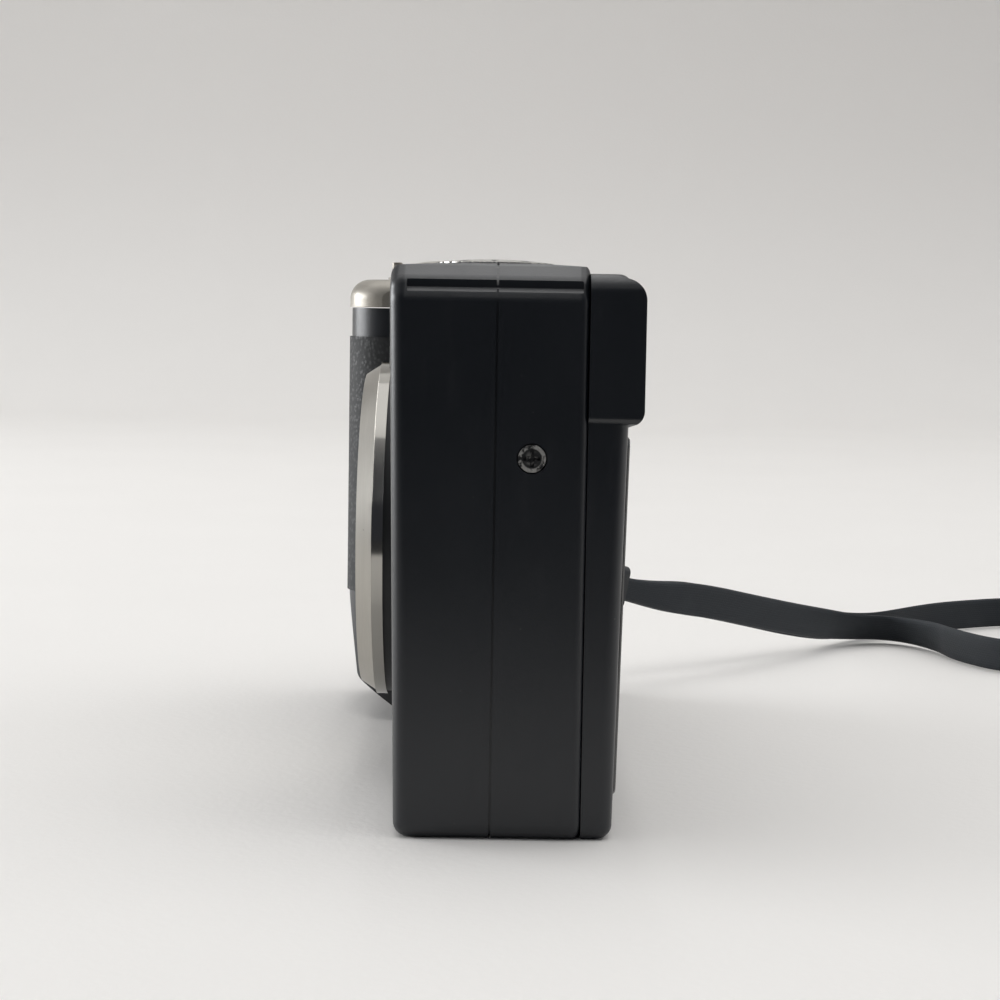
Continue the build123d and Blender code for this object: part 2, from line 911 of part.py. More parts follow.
def make_fixed_barrel():
    barrel = tube(fixed_radius, fixed_bore, 0, fixed_length)
    width = 2 * (pin_radius + pin_slot_gap)
    slot = span_box((0, fixed_radius + overrun), (-width / 2, width / 2),
                    (pin_place - width / 2, pin_place + outer_travel + width / 2))
    for turn in (0, 120, 240):
        barrel = barrel - Rot(0, 0, turn) * slot
    return lens_place(barrel)


def tooth_ring(teeth, root, pitch, tip, phase):
    """Outline of a gear with straight flanks; phase turns a tooth centre from +X."""
    step = 360 / teeth
    points = []
    for index in range(teeth):
        middle = phase + index * step
        half_root = step * (1 - tooth_share) / 2 * (pitch - root) / pitch + step * tooth_share / 2
        half_tip = step * tooth_tip_share / 2
        for radius, angle in ((root, middle - half_root), (tip, middle - half_tip),
                              (tip, middle + half_tip), (root, middle + half_root)):
            turn = radians(angle)
            points.append((radius * cos(turn), radius * sin(turn)))
    return make_face(Polyline(*points, close=True))


def gear_face(teeth, phase):
    pitch = gear_module * teeth / 2
    return tooth_ring(teeth, pitch - 1.1 * gear_module, pitch, pitch + 0.8 * gear_module, phase)


def make_cam_ring():
    ring = tube(cam_radius, cam_bore, cam_back, cam_front)
    rim = gear_face(rim_teeth, pinion_angle) - Circle(cam_radius - wall / 2)
    ring = ring + plan_prism(rim, cam_back, cam_back + rim_width)
    middle = (cam_radius + cam_bore) / 2
    path = Helix(pitch=outer_travel * 360 / cam_turn, height=outer_travel, radius=middle,
                 lefthand=True)
    slot_radius = pin_radius + pin_slot_gap
    slot = sweep(Plane(origin=path @ 0, z_dir=path % 0) * Circle(slot_radius), path=path)
    reach = cam_radius - cam_bore + 2 * overrun
    end = Rot(0, 90, 0) * Cylinder(slot_radius + face_gap, reach)
    for turn in (0, 120, 240):
        low = Pos(0, 0, pin_place) * Rot(0, 0, turn)
        high = Pos(0, 0, pin_place + outer_travel) * Rot(0, 0, turn - cam_turn)
        ring = ring - low * slot - low * Pos(middle, 0, 0) * end - high * Pos(middle, 0, 0) * end
    return lens_place(ring)


def make_outer_barrel():
    barrel = tube(fixed_bore - running_gap, outer_bore, outer_back, outer_front)
    for turn in (0, 120, 240):
        pin = Rot(0, 90, 0) * Cylinder(
            pin_radius, cam_radius - face_gap - outer_bore,
            align=(Align.CENTER, Align.CENTER, Align.MIN))
        barrel = barrel + Rot(0, 0, turn) * Pos(outer_bore + running_gap, 0, pin_place) * pin
        groove = span_box((0, outer_bore + lug_reach + slip_gap),
                          (-lug_width / 2 - slip_gap, lug_width / 2 + slip_gap),
                          (outer_back - overrun, groove_length))
        groove = groove - post(outer_bore - overrun, 0, 0, -overrun, outer_front)
        barrel = barrel - Rot(0, 0, turn + 60) * groove
    return lens_place(barrel)


def make_inner_barrel():
    radius = outer_bore - running_gap
    barrel = tube(radius, inner_bore, inner_back, inner_front - barrier_cap_skirt)
    step = tube(radius - barrier_cap_wall, inner_bore, inner_front - barrier_cap_skirt,
                inner_front - barrier_cap_thickness - 2 * blade_gap - blade_thickness)
    web = tube(inner_bore + face_gap, lens_cell_radius - face_gap, lens_web_back,
               lens_web_back + lens_web_thickness)
    cell = tube(lens_cell_radius, front_lens_radius + face_gap, lens_cell_back, lens_cell_front)
    stop = tube(lens_cell_radius, front_lens_radius - lens_web_thickness, lens_cell_back,
                front_lens_back - front_lens_crown / 2)
    barrel = barrel + step + web + cell + stop
    for turn in (60, 180, 300):
        lug = span_box((inner_bore + face_gap, outer_bore + lug_reach),
                       (-lug_width / 2, lug_width / 2), (inner_back, inner_back + lug_length))
        barrel = barrel + Rot(0, 0, turn) * lug
    return lens_place(barrel)


def blade_level():
    """Back face of the barrier blades, along the lens axis."""
    return inner_front - barrier_cap_thickness - blade_gap - blade_thickness


def make_barrier_cap():
    radius = outer_bore - running_gap
    cap = tube(radius, barrier_opening, inner_front - barrier_cap_thickness, inner_front)
    cap = cap + tube(radius, radius - barrier_cap_wall + face_gap,
                     inner_front - barrier_cap_skirt + face_gap, inner_front)
    inner_edges = [edge for edge in cap.edges().filter_by(GeomType.CIRCLE)
                   if abs(edge.radius - barrier_opening) < face_gap
                   and edge.center().Z > inner_front - face_gap]
    cap = chamfer(inner_edges, length=barrier_cap_thickness / 2)
    for side in (-1, 1):
        cap = cap + post(blade_pin, side * blade_pivot, 0, blade_level() - blade_gap / 2,
                         inner_front - barrier_cap_thickness / 2)
    return lens_place(cap)


def make_blade(side):
    """Half-moon that swings about a pin beside the opening."""
    half = Circle(blade_radius) & Pos(0, blade_radius) * Rectangle(
        2 * blade_radius, 2 * blade_radius - 2 * blade_seam)
    arm = make_face(Polyline((0, blade_seam), (blade_pivot, blade_seam),
                             (blade_pivot, blade_eye), (0, blade_radius), close=True))
    outline = half + arm + Pos(blade_pivot, 0) * Circle(blade_eye)
    outline = outline - Pos(blade_pivot, 0) * Circle(blade_pin + running_gap)
    blade = plan_prism(outline, blade_level(), blade_level() + blade_thickness)
    return lens_place(Rot(0, 0, 0 if side > 0 else 180) * blade)


def dome_arc(radius, crown, foot):
    """Arc of a sphere centred on the axis, from its rim at height foot to its crown."""
    sphere = (radius ** 2 + crown ** 2) / (2 * abs(crown))
    rise = sqrt(sphere ** 2 - radius ** 2 / 4) - (sphere - abs(crown))
    rise = rise if crown > 0 else -rise
    return ThreePointArc((radius, foot), (radius / 2, foot + rise), (0, foot + crown))


def lens_disc(radius, back, edge, crown):
    """Glass with two domed faces."""
    front = back + edge
    profile = make_face([dome_arc(radius, -crown, back), Line((radius, back), (radius, front)),
                         dome_arc(radius, crown, front),
                         Line((0, front + crown), (0, back - crown))])
    return revolve(Plane.XZ * profile, axis=Axis.Z)


def make_front_lens():
    return lens_place(lens_disc(front_lens_radius, front_lens_back, front_lens_edge,
                                front_lens_crown))


def make_focus_group():
    """Holder that slides on the two guide rods, with its lens as a second solid."""
    top = focus_back + focus_disc_thickness
    disc = SlotOverall(2 * (guide_rod_place + guide_rod_radius + wall), 4 * guide_rod_radius + wall)
    holder = plan_prism(disc + Circle(focus_hub_radius), focus_back, top)
    holder = holder + post(focus_hub_radius, 0, 0, focus_back, focus_back + 2 * wall)
    for side in (-1, 1):
        holder = holder + post(2 * guide_rod_radius, side * guide_rod_place, 0,
                               focus_back, focus_back + 2 * wall)
        holder = holder - post(guide_rod_radius + running_gap, side * guide_rod_place, 0,
                               0, guide_rod_length)
    holder = holder - post(focus_lens_radius + face_gap, 0, 0, 0, guide_rod_length)
    glass = lens_disc(focus_lens_radius, focus_back + focus_lens_edge / 2, focus_lens_edge,
                      focus_lens_edge / 4)
    return Compound(children=[lens_place(holder).solid(), lens_place(glass).solid()])


def make_zoom_motor():
    x, y = motor_centre()
    low = cam_back + rim_width + motor_post / 2
    body = post(motor_radius, x, y, low, low + motor_length)
    turned = Pos(x, y) * Rot(0, 0, pinion_angle + 90)
    ears = turned * SlotOverall(2 * motor_arm() + motor_post, motor_post)
    body = body + plan_prism(ears, low, low + motor_post / 2)
    return lens_place(body + post(pinion_bore - running_gap, x, y, -lens_base_thickness / 2,
                                  low + overrun))


def make_motor_pinion():
    x, y = motor_centre()
    low = cam_back + (rim_width - pinion_width) / 2
    face = Pos(x, y) * (gear_face(pinion_teeth, 180 + pinion_angle + 180 / pinion_teeth)
                        - Circle(pinion_bore))
    return lens_place(plan_prism(face, low, low + pinion_width))


def make_image_sensor():
    chip = plan_prism(Rectangle(sensor_width, sensor_height),
                      -lens_base_thickness - face_gap, sensor_thickness - lens_base_thickness)
    margin = 2 * sensor_board_margin
    board = plan_prism(Rectangle(sensor_width + margin, sensor_height + margin),
                       -lens_base_thickness - sensor_board_thickness,
                       -lens_base_thickness)
    return lens_place(chip + board)


# Frame and boards
def make_chassis():
    back = chassis_y + chassis_thickness
    sheet = span_box((chassis_right_x, left_x - chassis_left_gap), (chassis_y, back),
                     (chassis_foot_height, chassis_high))
    foot = span_box((chassis_right_x, left_x - shoulder_width),
                    (back - chassis_foot_depth, back),
                    (chassis_foot_height, chassis_foot_height + chassis_thickness))
    side_x = left_x - wall - face_gap
    flange = span_box((side_x - chassis_thickness, side_x), (seam_y + lip_length + slip_gap, back),
                      (side_screw_height - shoulder_width, side_screw_height + shoulder_width))
    bridge = span_box((left_x - chassis_left_gap - overrun, side_x), (chassis_y, back),
                      (side_screw_height - shoulder_width, side_screw_height + shoulder_width))
    shelf_z = top_height - shelf_drop - chassis_thickness
    shelf = span_box((dial_x - shelf_width / 2, dial_x + shelf_width / 2 - wall),
                     (back - shelf_depth, back), (shelf_z, shelf_z + chassis_thickness))
    tab = span_box((dial_x - shelf_width / 2, dial_x + shelf_width / 2 - wall),
                   (chassis_y, back), (chassis_high - overrun, shelf_z + chassis_thickness))
    plate = sheet + foot + flange + bridge + shelf + tab
    plate = plate - finder_space(slip_gap)
    plate = plate - post(socket_outer_radius + face_gap, 0, 0, 0,
                         socket_depth + socket_floor + face_gap)
    for x in (left_x / 2, left_x - 2 * shoulder_width):
        plate = plate - post(screw_shank_radius + slip_gap, x, side_screw_y, 0,
                             2 * chassis_foot_height)
    plate = plate - along_x(screw_shank_radius + slip_gap, side_screw_y, side_screw_height,
                            side_x - 2 * overrun, left_x)
    window = along_y(sensor_width + overrun, 0, lens_height, back + overrun, chassis_y - overrun)
    return plate - window


def finder_space(gap):
    half_width = finder_tube_width / 2 + gap
    half_height = finder_tube_height / 2 + gap
    return span_box((finder_x - half_width, finder_x + half_width), (front_y, back_y + hump_reach),
                    (finder_height - half_height, finder_height + half_height))


def make_main_board():
    front = chassis_y + chassis_thickness + main_board_gap
    board = span_box((chassis_right_x + main_board_margin, left_x - wall - main_board_margin),
                     (front, front + main_board_thickness),
                     (2 * chassis_foot_height, hump_bottom + main_board_margin))
    pad = along_y(main_board_margin, 2 * main_board_margin, hump_bottom - main_board_margin,
                  front + face_gap, front - main_board_gap)
    for x in (chassis_right_x / 2, left_x / 2):
        for z in (lens_height / 2, hump_bottom - main_board_margin):
            board = board + along_y(main_board_margin, x, z, front + face_gap,
                                    front - main_board_gap)
    return board + pad


def make_key_board():
    low_x = -chassis_right_x - main_board_margin
    high_x = -right_x - wall - lip_thickness - wall
    width = high_x - low_x
    height = hump_bottom - 2 * (wall + lip_gap + lip_thickness + slip_gap)
    outline = RectangleRounded(width, height, screen_round)
    depth = back_wall + key_board_gap + key_board_thickness
    board = extrude(Pos(low_x + width / 2, hump_bottom / 2) * outline,
                    amount=key_board_thickness)
    for x in (low_x + wall, high_x - wall):
        for z in (wall + lip_thickness + wall, hump_bottom - 2 * wall):
            board = board + extrude(Pos(x, z) * Circle(wall / 2),
                                    amount=key_board_thickness + key_board_gap)
    return back_plane(depth) * board


def make_flash_board():
    high_x = left_x - wall - lip_gap - lip_thickness - slip_gap
    back = seam_y + lip_length + slip_gap + flash_board_thickness + flash_board_gap
    board = span_box((high_x - flash_board_width, high_x), (back - flash_board_thickness, back),
                     (flash_board_low, flash_board_high))
    return board + span_box((high_x - wall, left_x - wall),
                            (back - flash_board_thickness, back),
                            (lens_height - shoulder_width, lens_height + shoulder_width))


def make_flash_capacitor():
    board_front = seam_y + lip_length + slip_gap + flash_board_gap
    x = left_x - wall - lip_gap - lip_thickness - slip_gap - flash_board_width / 2
    return post(capacitor_radius, x, board_front - capacitor_radius - face_gap,
                capacitor_low, capacitor_low + capacitor_length)


# Windows
def make_finder_window():
    face = Pos(finder_x, finder_height) * RectangleRounded(finder_window_width,
                                                           finder_window_height, flash_round)
    return front_prism(face, front_y + finder_glass, front_y - slip_gap)


def make_finder_tube():
    back = crease_y + hump_reach - back_wall - slip_gap
    outer = front_prism(Pos(finder_x, finder_height) * Rectangle(finder_tube_width,
                                                                finder_tube_height),
                        back, behind_front_wall(finder_height - finder_tube_height / 2))
    inner_width = finder_tube_width - 2 * finder_tube_wall
    inner_height = finder_tube_height - 2 * finder_tube_wall
    inner = front_prism(Pos(finder_x, finder_height) * Rectangle(inner_width, inner_height),
                        back + overrun, front_y)
    return outer - inner


def make_finder_eyepiece():
    outline = RectangleRounded(eyepiece_width, eyepiece_height, eyepiece_round)
    back = crease_y + hump_reach
    return front_prism(Pos(finder_x, finder_height) * outline, back - face_gap,
                       back - back_wall - face_gap)


def make_flash_window():
    outline = RectangleRounded(flash_width, flash_tall, flash_round)
    return front_prism(Pos(flash_x, flash_height) * outline, front_y + flash_glass,
                       front_y - slip_gap)


def make_flash_reflector():
    """Trough that opens towards the window."""
    front = behind_front_wall(flash_height - flash_tall / 2)
    deep = front + reflector_depth
    half = flash_tall / 2
    outer = make_face([
        Line((front, flash_height - half), (front, flash_height + half)),
        ThreePointArc((front, flash_height + half), (deep, flash_height),
                      (front, flash_height - half))])
    inner_deep = deep - reflector_wall
    inner_half = half - reflector_wall
    inner = make_face([
        Line((front, flash_height - inner_half), (front, flash_height + inner_half)),
        ThreePointArc((front, flash_height + inner_half), (inner_deep, flash_height),
                      (front, flash_height - inner_half))])
    half_width = flash_width / 2
    shell = side_prism(outer, flash_x - half_width, flash_x + half_width)
    return shell - side_prism(inner, flash_x - half_width + reflector_wall,
                              flash_x + half_width - reflector_wall)


def make_flash_tube():
    y = front_y + flash_glass + reflector_depth - 2 * flash_tube_radius
    half = flash_width / 2 - reflector_wall - face_gap
    return along_x(flash_tube_radius, y, flash_height, flash_x - half, flash_x + half)


def make_focus_lamp():
    lamp = along_y(lamp_radius, lamp_x, lamp_height, front_y + lamp_length, front_y - slip_gap)
    return fillet(lamp.faces().sort_by(Axis.Y)[0].edges(), radius=lamp_radius / 4)


# Controls
def make_mode_dial():
    low = top_height + dial_lift
    high = low + dial_skirt
    profile = make_face([
        Polyline((0, high + dial_crown), (0, low), (dial_radius, low), (dial_radius, high)),
        dome_arc(dial_radius, dial_crown, high)])
    dial = Pos(dial_x, dial_y, 0) * revolve(Plane.XZ * profile, axis=Axis.Z)
    notch = Cylinder(dial_notch_radius, dial_skirt / 2 + overrun,
                     align=(Align.CENTER, Align.CENTER, Align.MIN))
    for index in range(dial_notches):
        turn = Rot(0, 0, index * 360 / dial_notches)
        place = Pos(dial_x, dial_y, low + dial_skirt / 2) * turn * Pos(dial_radius, 0, 0)
        dial = dial - place * notch
    stem_low = top_height - shelf_drop + face_gap
    return dial + post(dial_stem_radius, dial_x, dial_y, stem_low, low + dial_skirt / 2)


def make_shutter_button():
    high = grip_height + shutter_proud
    low = grip_height - shutter_depth
    rim = high - shutter_crown
    profile = make_face([
        Polyline((0, high), (0, low), (shutter_radius, low), (shutter_radius, rim)),
        dome_arc(shutter_radius, shutter_crown, rim)])
    return Pos(shutter_x, shutter_y, 0) * revolve(Plane.XZ * profile, axis=Axis.Z)


def make_zoom_lever():
    low = grip_height + collar_height + slip_gap / 2
    high = low + lever_height
    bore = shutter_radius + slip_gap
    ring = tube(lever_radius, bore, low, high)
    ring = chamfer([edge for edge in ring.edges().filter_by(GeomType.CIRCLE)
                    if edge.radius > bore + overrun and edge.center().Z > high - face_gap],
                   length=lever_height / 3)
    ring = ring + tube(lever_sleeve_radius, bore, grip_height - lever_sleeve_depth, low + face_gap)
    nub = RectangleRounded(lever_nub_width, lever_nub_reach - bore - wall / 2, lever_nub_width / 5)
    middle = (lever_nub_reach + bore + wall / 2) / 2
    nub = plan_prism(Pos(0, -middle) * nub, high - lever_height / 2, high + lever_nub_rise)
    return Pos(shutter_x, shutter_y, 0) * (ring + nub)


def make_power_button():
    button = post(power_radius, power_x, power_y, grip_height - power_depth,
                  grip_height + power_proud)
    return fillet(button.faces().sort_by(Axis.Z)[-1].edges(), radius=power_proud / 2)


def arrow_outline(gap):
    """Crescent between two circles, opening 74 degrees, centred on +X."""
    inner, outer = arrow_inner - gap, arrow_outer + gap
    half = radians(arrow_sweep / 2)
    spread = gap / (inner * sin(half))
    low, high = half + spread, half + gap / (outer * sin(half))
    return make_face([
        ThreePointArc((inner * cos(low), -inner * sin(low)), (inner, 0),
                      (inner * cos(low), inner * sin(low))),
        Line((inner * cos(low), inner * sin(low)), (outer * cos(high), outer * sin(high))),
        ThreePointArc((outer * cos(high), outer * sin(high)), (outer, 0),
                      (outer * cos(high), -outer * sin(high))),
        Line((outer * cos(high), -outer * sin(high)), (inner * cos(low), -inner * sin(low)))])


def key_outlines(gap):
    """Centre and outline of each key on the back face, x to the right seen from behind."""
    outlines = [((-pad_x, pad_height), Circle(ok_radius + gap))]
    for turn in (0, 90, 180, 270):
        outlines.append(((-pad_x, pad_height), Rot(0, 0, turn) * arrow_outline(gap)))
    for side in (-1, 1):
        outlines.append(((-pad_x + side * small_key_aside, small_key_low),
                         Circle(small_key_radius + gap)))
    return outlines


key_names = ["ok_key", "right_key", "up_key", "left_key", "down_key", "display_key", "menu_key"]


def make_keys():
    keys = {}
    for name, (centre, outline) in zip(key_names, key_outlines(0)):
        block = extrude(Pos(*centre) * outline, amount=back_wall + key_proud)
        block = fillet(block.faces().sort_by(Axis.Z)[-1].edges(), radius=key_proud / 3)
        keys[name] = back_plane(back_wall) * block
    return keys


# Power, card and base
def cell_places():
    return [(front_cell_x, front_cell_y), (rear_cell_x, rear_cell_y)]


def make_battery_cells():
    solids = []
    for x, y in cell_places():
        cell = post(cell_radius, x, y, cell_low, cell_low + cell_length - cell_nub_length)
        nub = post(cell_nub_radius, x, y, cell_low, cell_low + cell_length)
        solids.append((cell + nub).solid())
    return Compound(children=solids)


def make_battery_holder():
    outline = Sketch() + [Pos(x, y) * Circle(cell_radius + cell_gap + holder_wall)
                          for x, y in cell_places()]
    holder = plan_prism(outline, holder_low, holder_high)
    for x, y in cell_places():
        holder = holder - post(cell_radius + cell_gap, x, y, holder_low - overrun,
                               holder_high - holder_roof)
    card_side = card_x - card_thickness / 2 - card_slot_wall - lip_gap - face_gap
    card_top = card_low + card_length + 2 * card_slot_wall + face_gap
    return holder - span_box((card_side, 0), (grip_front_y, back_y), (0, card_top))


def make_battery_contacts():
    """Sprung contacts on the door side and flat ones under the holder's roof."""
    solids = []
    roof = holder_high - holder_roof
    for x, y in cell_places():
        pad = span_box((x - contact_width / 2, x + contact_width / 2),
                       (y - contact_width / 2, y + contact_width / 2),
                       (roof - contact_thickness, roof))
        leaf = post(cell_nub_radius, x, y, cell_low + cell_length + face_gap,
                    roof - contact_thickness / 2)
        solids.append((pad + leaf).solid())
    return Compound(children=solids)


def make_memory_card():
    low_x, high_x = card_x - card_thickness / 2, card_x + card_thickness / 2
    corner = card_thickness * 2
    side = make_face(Polyline(
        (card_front_y, card_low), (card_front_y + card_width, card_low),
        (card_front_y + card_width, card_low + card_length),
        (card_front_y + corner, card_low + card_length),
        (card_front_y, card_low + card_length - corner), close=True))
    return side_prism(side, low_x, high_x)


def make_card_slot():
    """Sleeve round the inner end of the card."""
    low = card_low + card_length - card_slot_grip
    outer = card_thickness / 2 + card_slot_wall + lip_gap
    y_low, y_high = card_front_y - card_slot_wall, card_front_y + card_width + card_slot_wall
    high = card_low + card_length + card_slot_wall + face_gap
    block = span_box((card_x - outer, card_x + outer), (y_low, y_high), (low, high))
    inner = span_box((card_x - card_thickness / 2 - face_gap, card_x + card_thickness / 2 + face_gap),
                     (card_front_y - face_gap, card_front_y + card_width + face_gap),
                     (low - overrun, card_low + card_length + face_gap))
    return block - inner


def make_battery_door():
    plate = plan_prism(door_face(0), door_recess, door_recess + door_thickness)
    plate = plate & case_prism(hand_base_round / 3, crease_y - door_gap, grip_foot_y)
    toe = offset(grip_profile(0), -door_recess) - offset(
        grip_profile(0), -door_recess - door_thickness)
    toe = side_prism(toe, right_x, grip_flank_x) & span_box(
        (right_x, grip_flank_x), (rubber_front_y, grip_foot_y + face_gap), (0, door_toe_height))
    plate = plate + (toe & plan_prism(door_face(0), 0, door_toe_height))
    x, z = door_axis()
    front = door_knuckle_back_y - door_knuckle_length
    web = span_box((door_near_x - overrun, x), (front, door_knuckle_back_y),
                   (door_recess, door_recess + door_thickness))
    plate = plate + web + along_y(door_knuckle_radius, x, z, door_knuckle_back_y, front)
    return plate - along_y(hinge_pin_radius + hinge_pin_gap, x, z,
                           door_knuckle_back_y + overrun, front - overrun)


def make_hinge_pins():
    """Pin of the battery door and pin of the connector door."""
    x, z = door_axis()
    front = door_knuckle_back_y - door_knuckle_length
    door_pin = along_y(hinge_pin_radius - face_gap, x, z,
                       door_knuckle_back_y + hinge_pin_hold - face_gap,
                       front - hinge_pin_hold + face_gap)
    flap_x, flap_y = flap_axis()
    flap_pin = post(hinge_pin_radius - face_gap, flap_x, flap_y,
                    flap_low - hinge_pin_hold + face_gap, flap_high + hinge_pin_hold - face_gap)
    return Compound(children=[door_pin.solid(), flap_pin.solid()])


def make_tripod_socket():
    height = socket_depth + socket_floor
    body = post(socket_outer_radius, 0, 0, 0, height)
    flange_low = chassis_foot_height + chassis_thickness
    flange = post(socket_flange_radius, 0, 0, flange_low, flange_low + socket_flange)
    body = body + (flange & span_box((-body_width, body_width),
                                     (-body_width, chassis_y - face_gap), (0, body_width)))
    return body - post(socket_radius, 0, 0, -overrun, socket_depth)


def make_connector_door():
    axis_x, axis_y = flap_axis()
    low, high = flap_low + slip_gap, flap_high - slip_gap
    panel = span_box((right_x, right_x + flap_thickness), (flap_front_y + slip_gap, axis_y),
                     (low, high))
    flap = panel + post(flap_knuckle_radius, axis_x, axis_y, low, high)
    return flap - post(hinge_pin_radius + hinge_pin_gap, axis_x, axis_y, flap_low, flap_high)


def make_connector_jack():
    """Two sockets behind the door."""
    low_x = right_x + wall + face_gap
    block = span_box((low_x, low_x + jack_depth), (flap_front_y - slip_gap, flap_back_y() + slip_gap),
                     (flap_low + jack_margin, flap_high - jack_margin))
    middle = (flap_low + flap_high) / 2
    for low, high in ((flap_low + 2 * jack_margin, middle - jack_wall / 2),
                      (middle + jack_wall / 2, flap_high - 2 * jack_margin)):
        block = block - span_box((low_x - overrun, low_x + jack_depth - jack_wall),
                                 (flap_front_y + jack_wall, flap_back_y() - 2 * jack_wall),
                                 (low, high))
    return block


def make_case_screws():
    solids = []
    for place, outward in screw_places():
        head = Pos(0, 0, -face_gap) * Cylinder(
            screw_head_radius, screw_head_height - 2 * face_gap,
            align=(Align.CENTER, Align.CENTER, Align.MAX))
        shank = Pos(0, 0, -screw_length + face_gap) * Cylinder(
            screw_shank_radius, screw_length - screw_head_height,
            align=(Align.CENTER, Align.CENTER, Align.MIN))
        screw = head + shank
        for turn in (0, 90):
            slot = Box(screw_slot_length, screw_slot_width, 2 * screw_slot_depth)
            screw = screw - Rot(0, 0, turn) * slot
        solids.append((Plane(origin=place, z_dir=outward) * screw).solid())
    return Compound(children=solids)


# Strap
def make_strap_bar():
    return post(strap_bar_radius, right_x + strap_bar_sink, strap_bar_y,
                strap_pocket_low - strap_bar_hold + face_gap,
                strap_pocket_high + strap_bar_hold - face_gap)


ferrule_centre = Vector(-59.0, 12.3, 16.3)
ferrule_axis = Vector(-0.60, 0.76, -0.25).normalized()


def ferrule_plane(along):
    """Plane across the strap at the ferrule, x level, moved along its axis."""
    level = Vector(0, 0, 1).cross(ferrule_axis).normalized()
    return Plane(origin=ferrule_centre + ferrule_axis * along, x_dir=level, z_dir=ferrule_axis)


def make_strap_ferrule():
    outline = RectangleRounded(ferrule_width, ferrule_height, ferrule_round)
    return ferrule_plane(-ferrule_length / 2) * extrude(outline, amount=ferrule_length)


def corner_radii(points, smallest):
    """Largest tangent arcs that the runs allow, printed with the route's length."""
    radii = []
    for before, point, after in zip(points, points[1:], points[2:]):
        arrive, leave = Vector(*point) - Vector(*before), Vector(*after) - Vector(*point)
        half = radians(arrive.get_angle(leave)) / 2
        radii.append(max(0.45 * min(arrive.length, leave.length) / tan(half), smallest))
    return radii


def route_tube(points, section, plane, area, name):
    """Sweep a section along runs joined by tangent arcs, and compare its volume."""
    radii = corner_radii(points, 0)
    path = FilletPolyline(*points, radius=radii)
    solid = sweep(plane * section, path=path)
    print(name, "radii", [round(radius, 1) for radius in radii], "length", round(path.length, 1),
          "volume share", round(solid.volume / (area * path.length), 3))
    return solid


def strap_cord_points():
    """From the ferrule round the bar and back, by hand."""
    away = strap_cord_width / 2 + strap_cord_gap
    near = ferrule_plane(-ferrule_length / 2)
    bar = Vector(right_x + strap_bar_sink, strap_bar_y, strap_cord_height)
    along = Vector(near.origin.X - bar.X, near.origin.Y - bar.Y, 0).normalized()
    across = Vector(along.Y, -along.X, 0)
    turn = strap_bar_radius + strap_cord_width / 2 + strap_cord_gap
    lead = ferrule_axis * 3 * strap_cord_width
    drop = Vector(0, 0, strap_cord_width)
    outside = near.origin + near.x_dir * away
    inside = near.origin - near.x_dir * away
    points = [
        outside,
        outside - lead,
        bar - across * turn + along * turn * strap_cord_lead - drop,
        bar - across * turn - along * turn * strap_cord_bend,
        bar - along * turn * strap_cord_back,
        bar + across * turn - along * turn * strap_cord_bend,
        bar + across * turn * strap_cord_tuck + along * turn * strap_cord_lead - drop,
        inside - lead,
        inside,
    ]
    return [tuple(point) for point in points]


def make_strap_cord():
    points = strap_cord_points()
    area = pi * strap_cord_width ** 2 / 4
    plane = Plane(origin=points[0], z_dir=Vector(*points[1]) - Vector(*points[0]))
    return route_tube(points, Circle(strap_cord_width / 2), plane, area, "strap_cord")


def webbing_points():
    """One open route: out along the far strand, round the loop and back beside it."""
    end = ferrule_plane(ferrule_length / 2)
    out = end.origin + end.x_dir * (strand_spacing / 2)
    home = end.origin - end.x_dir * (strand_spacing / 2)
    lead = ferrule_axis * ferrule_length
    return [
        tuple(out), tuple(out + lead), (-74.0, 28.4, 12.0), (-83.0, 37.8, 9.1),
        (-94.0, 48.2, 5.6), (-107.0, 59.2, 2.9), (-117.0, 70.5, 2.9), (-125.5, 83.0, 2.9),
        (-132.5, 96.0, 2.9), (-130.0, 110.5, 2.9), (-117.5, 118.5, 2.9), (-102.0, 120.0, 2.9),
        (-88.0, 114.5, 2.9), (-77.0, 103.5, 2.9), (-71.5, 91.0, 2.9), (-76.0, 80.5, 2.9),
        (-87.0, 75.4, 2.9), (-98.5, 73.5, 2.9), (-107.2, 67.2, 2.9), (-102.8, 58.9, 3.5),
        (-92.0, 49.9, 6.0), (-81.2, 39.6, 9.1), (-72.2, 30.1, 12.0),
        tuple(home + lead), tuple(home),
    ]


def make_strap_webbing():
    points = webbing_points()
    section = Rectangle(webbing_thickness, webbing_width)
    area = webbing_thickness * webbing_width
    start = ferrule_plane(ferrule_length / 2)
    plane = Plane(origin=points[0], x_dir=start.x_dir, z_dir=ferrule_axis)
    return route_tube(points, section, plane, area, "strap_webbing")


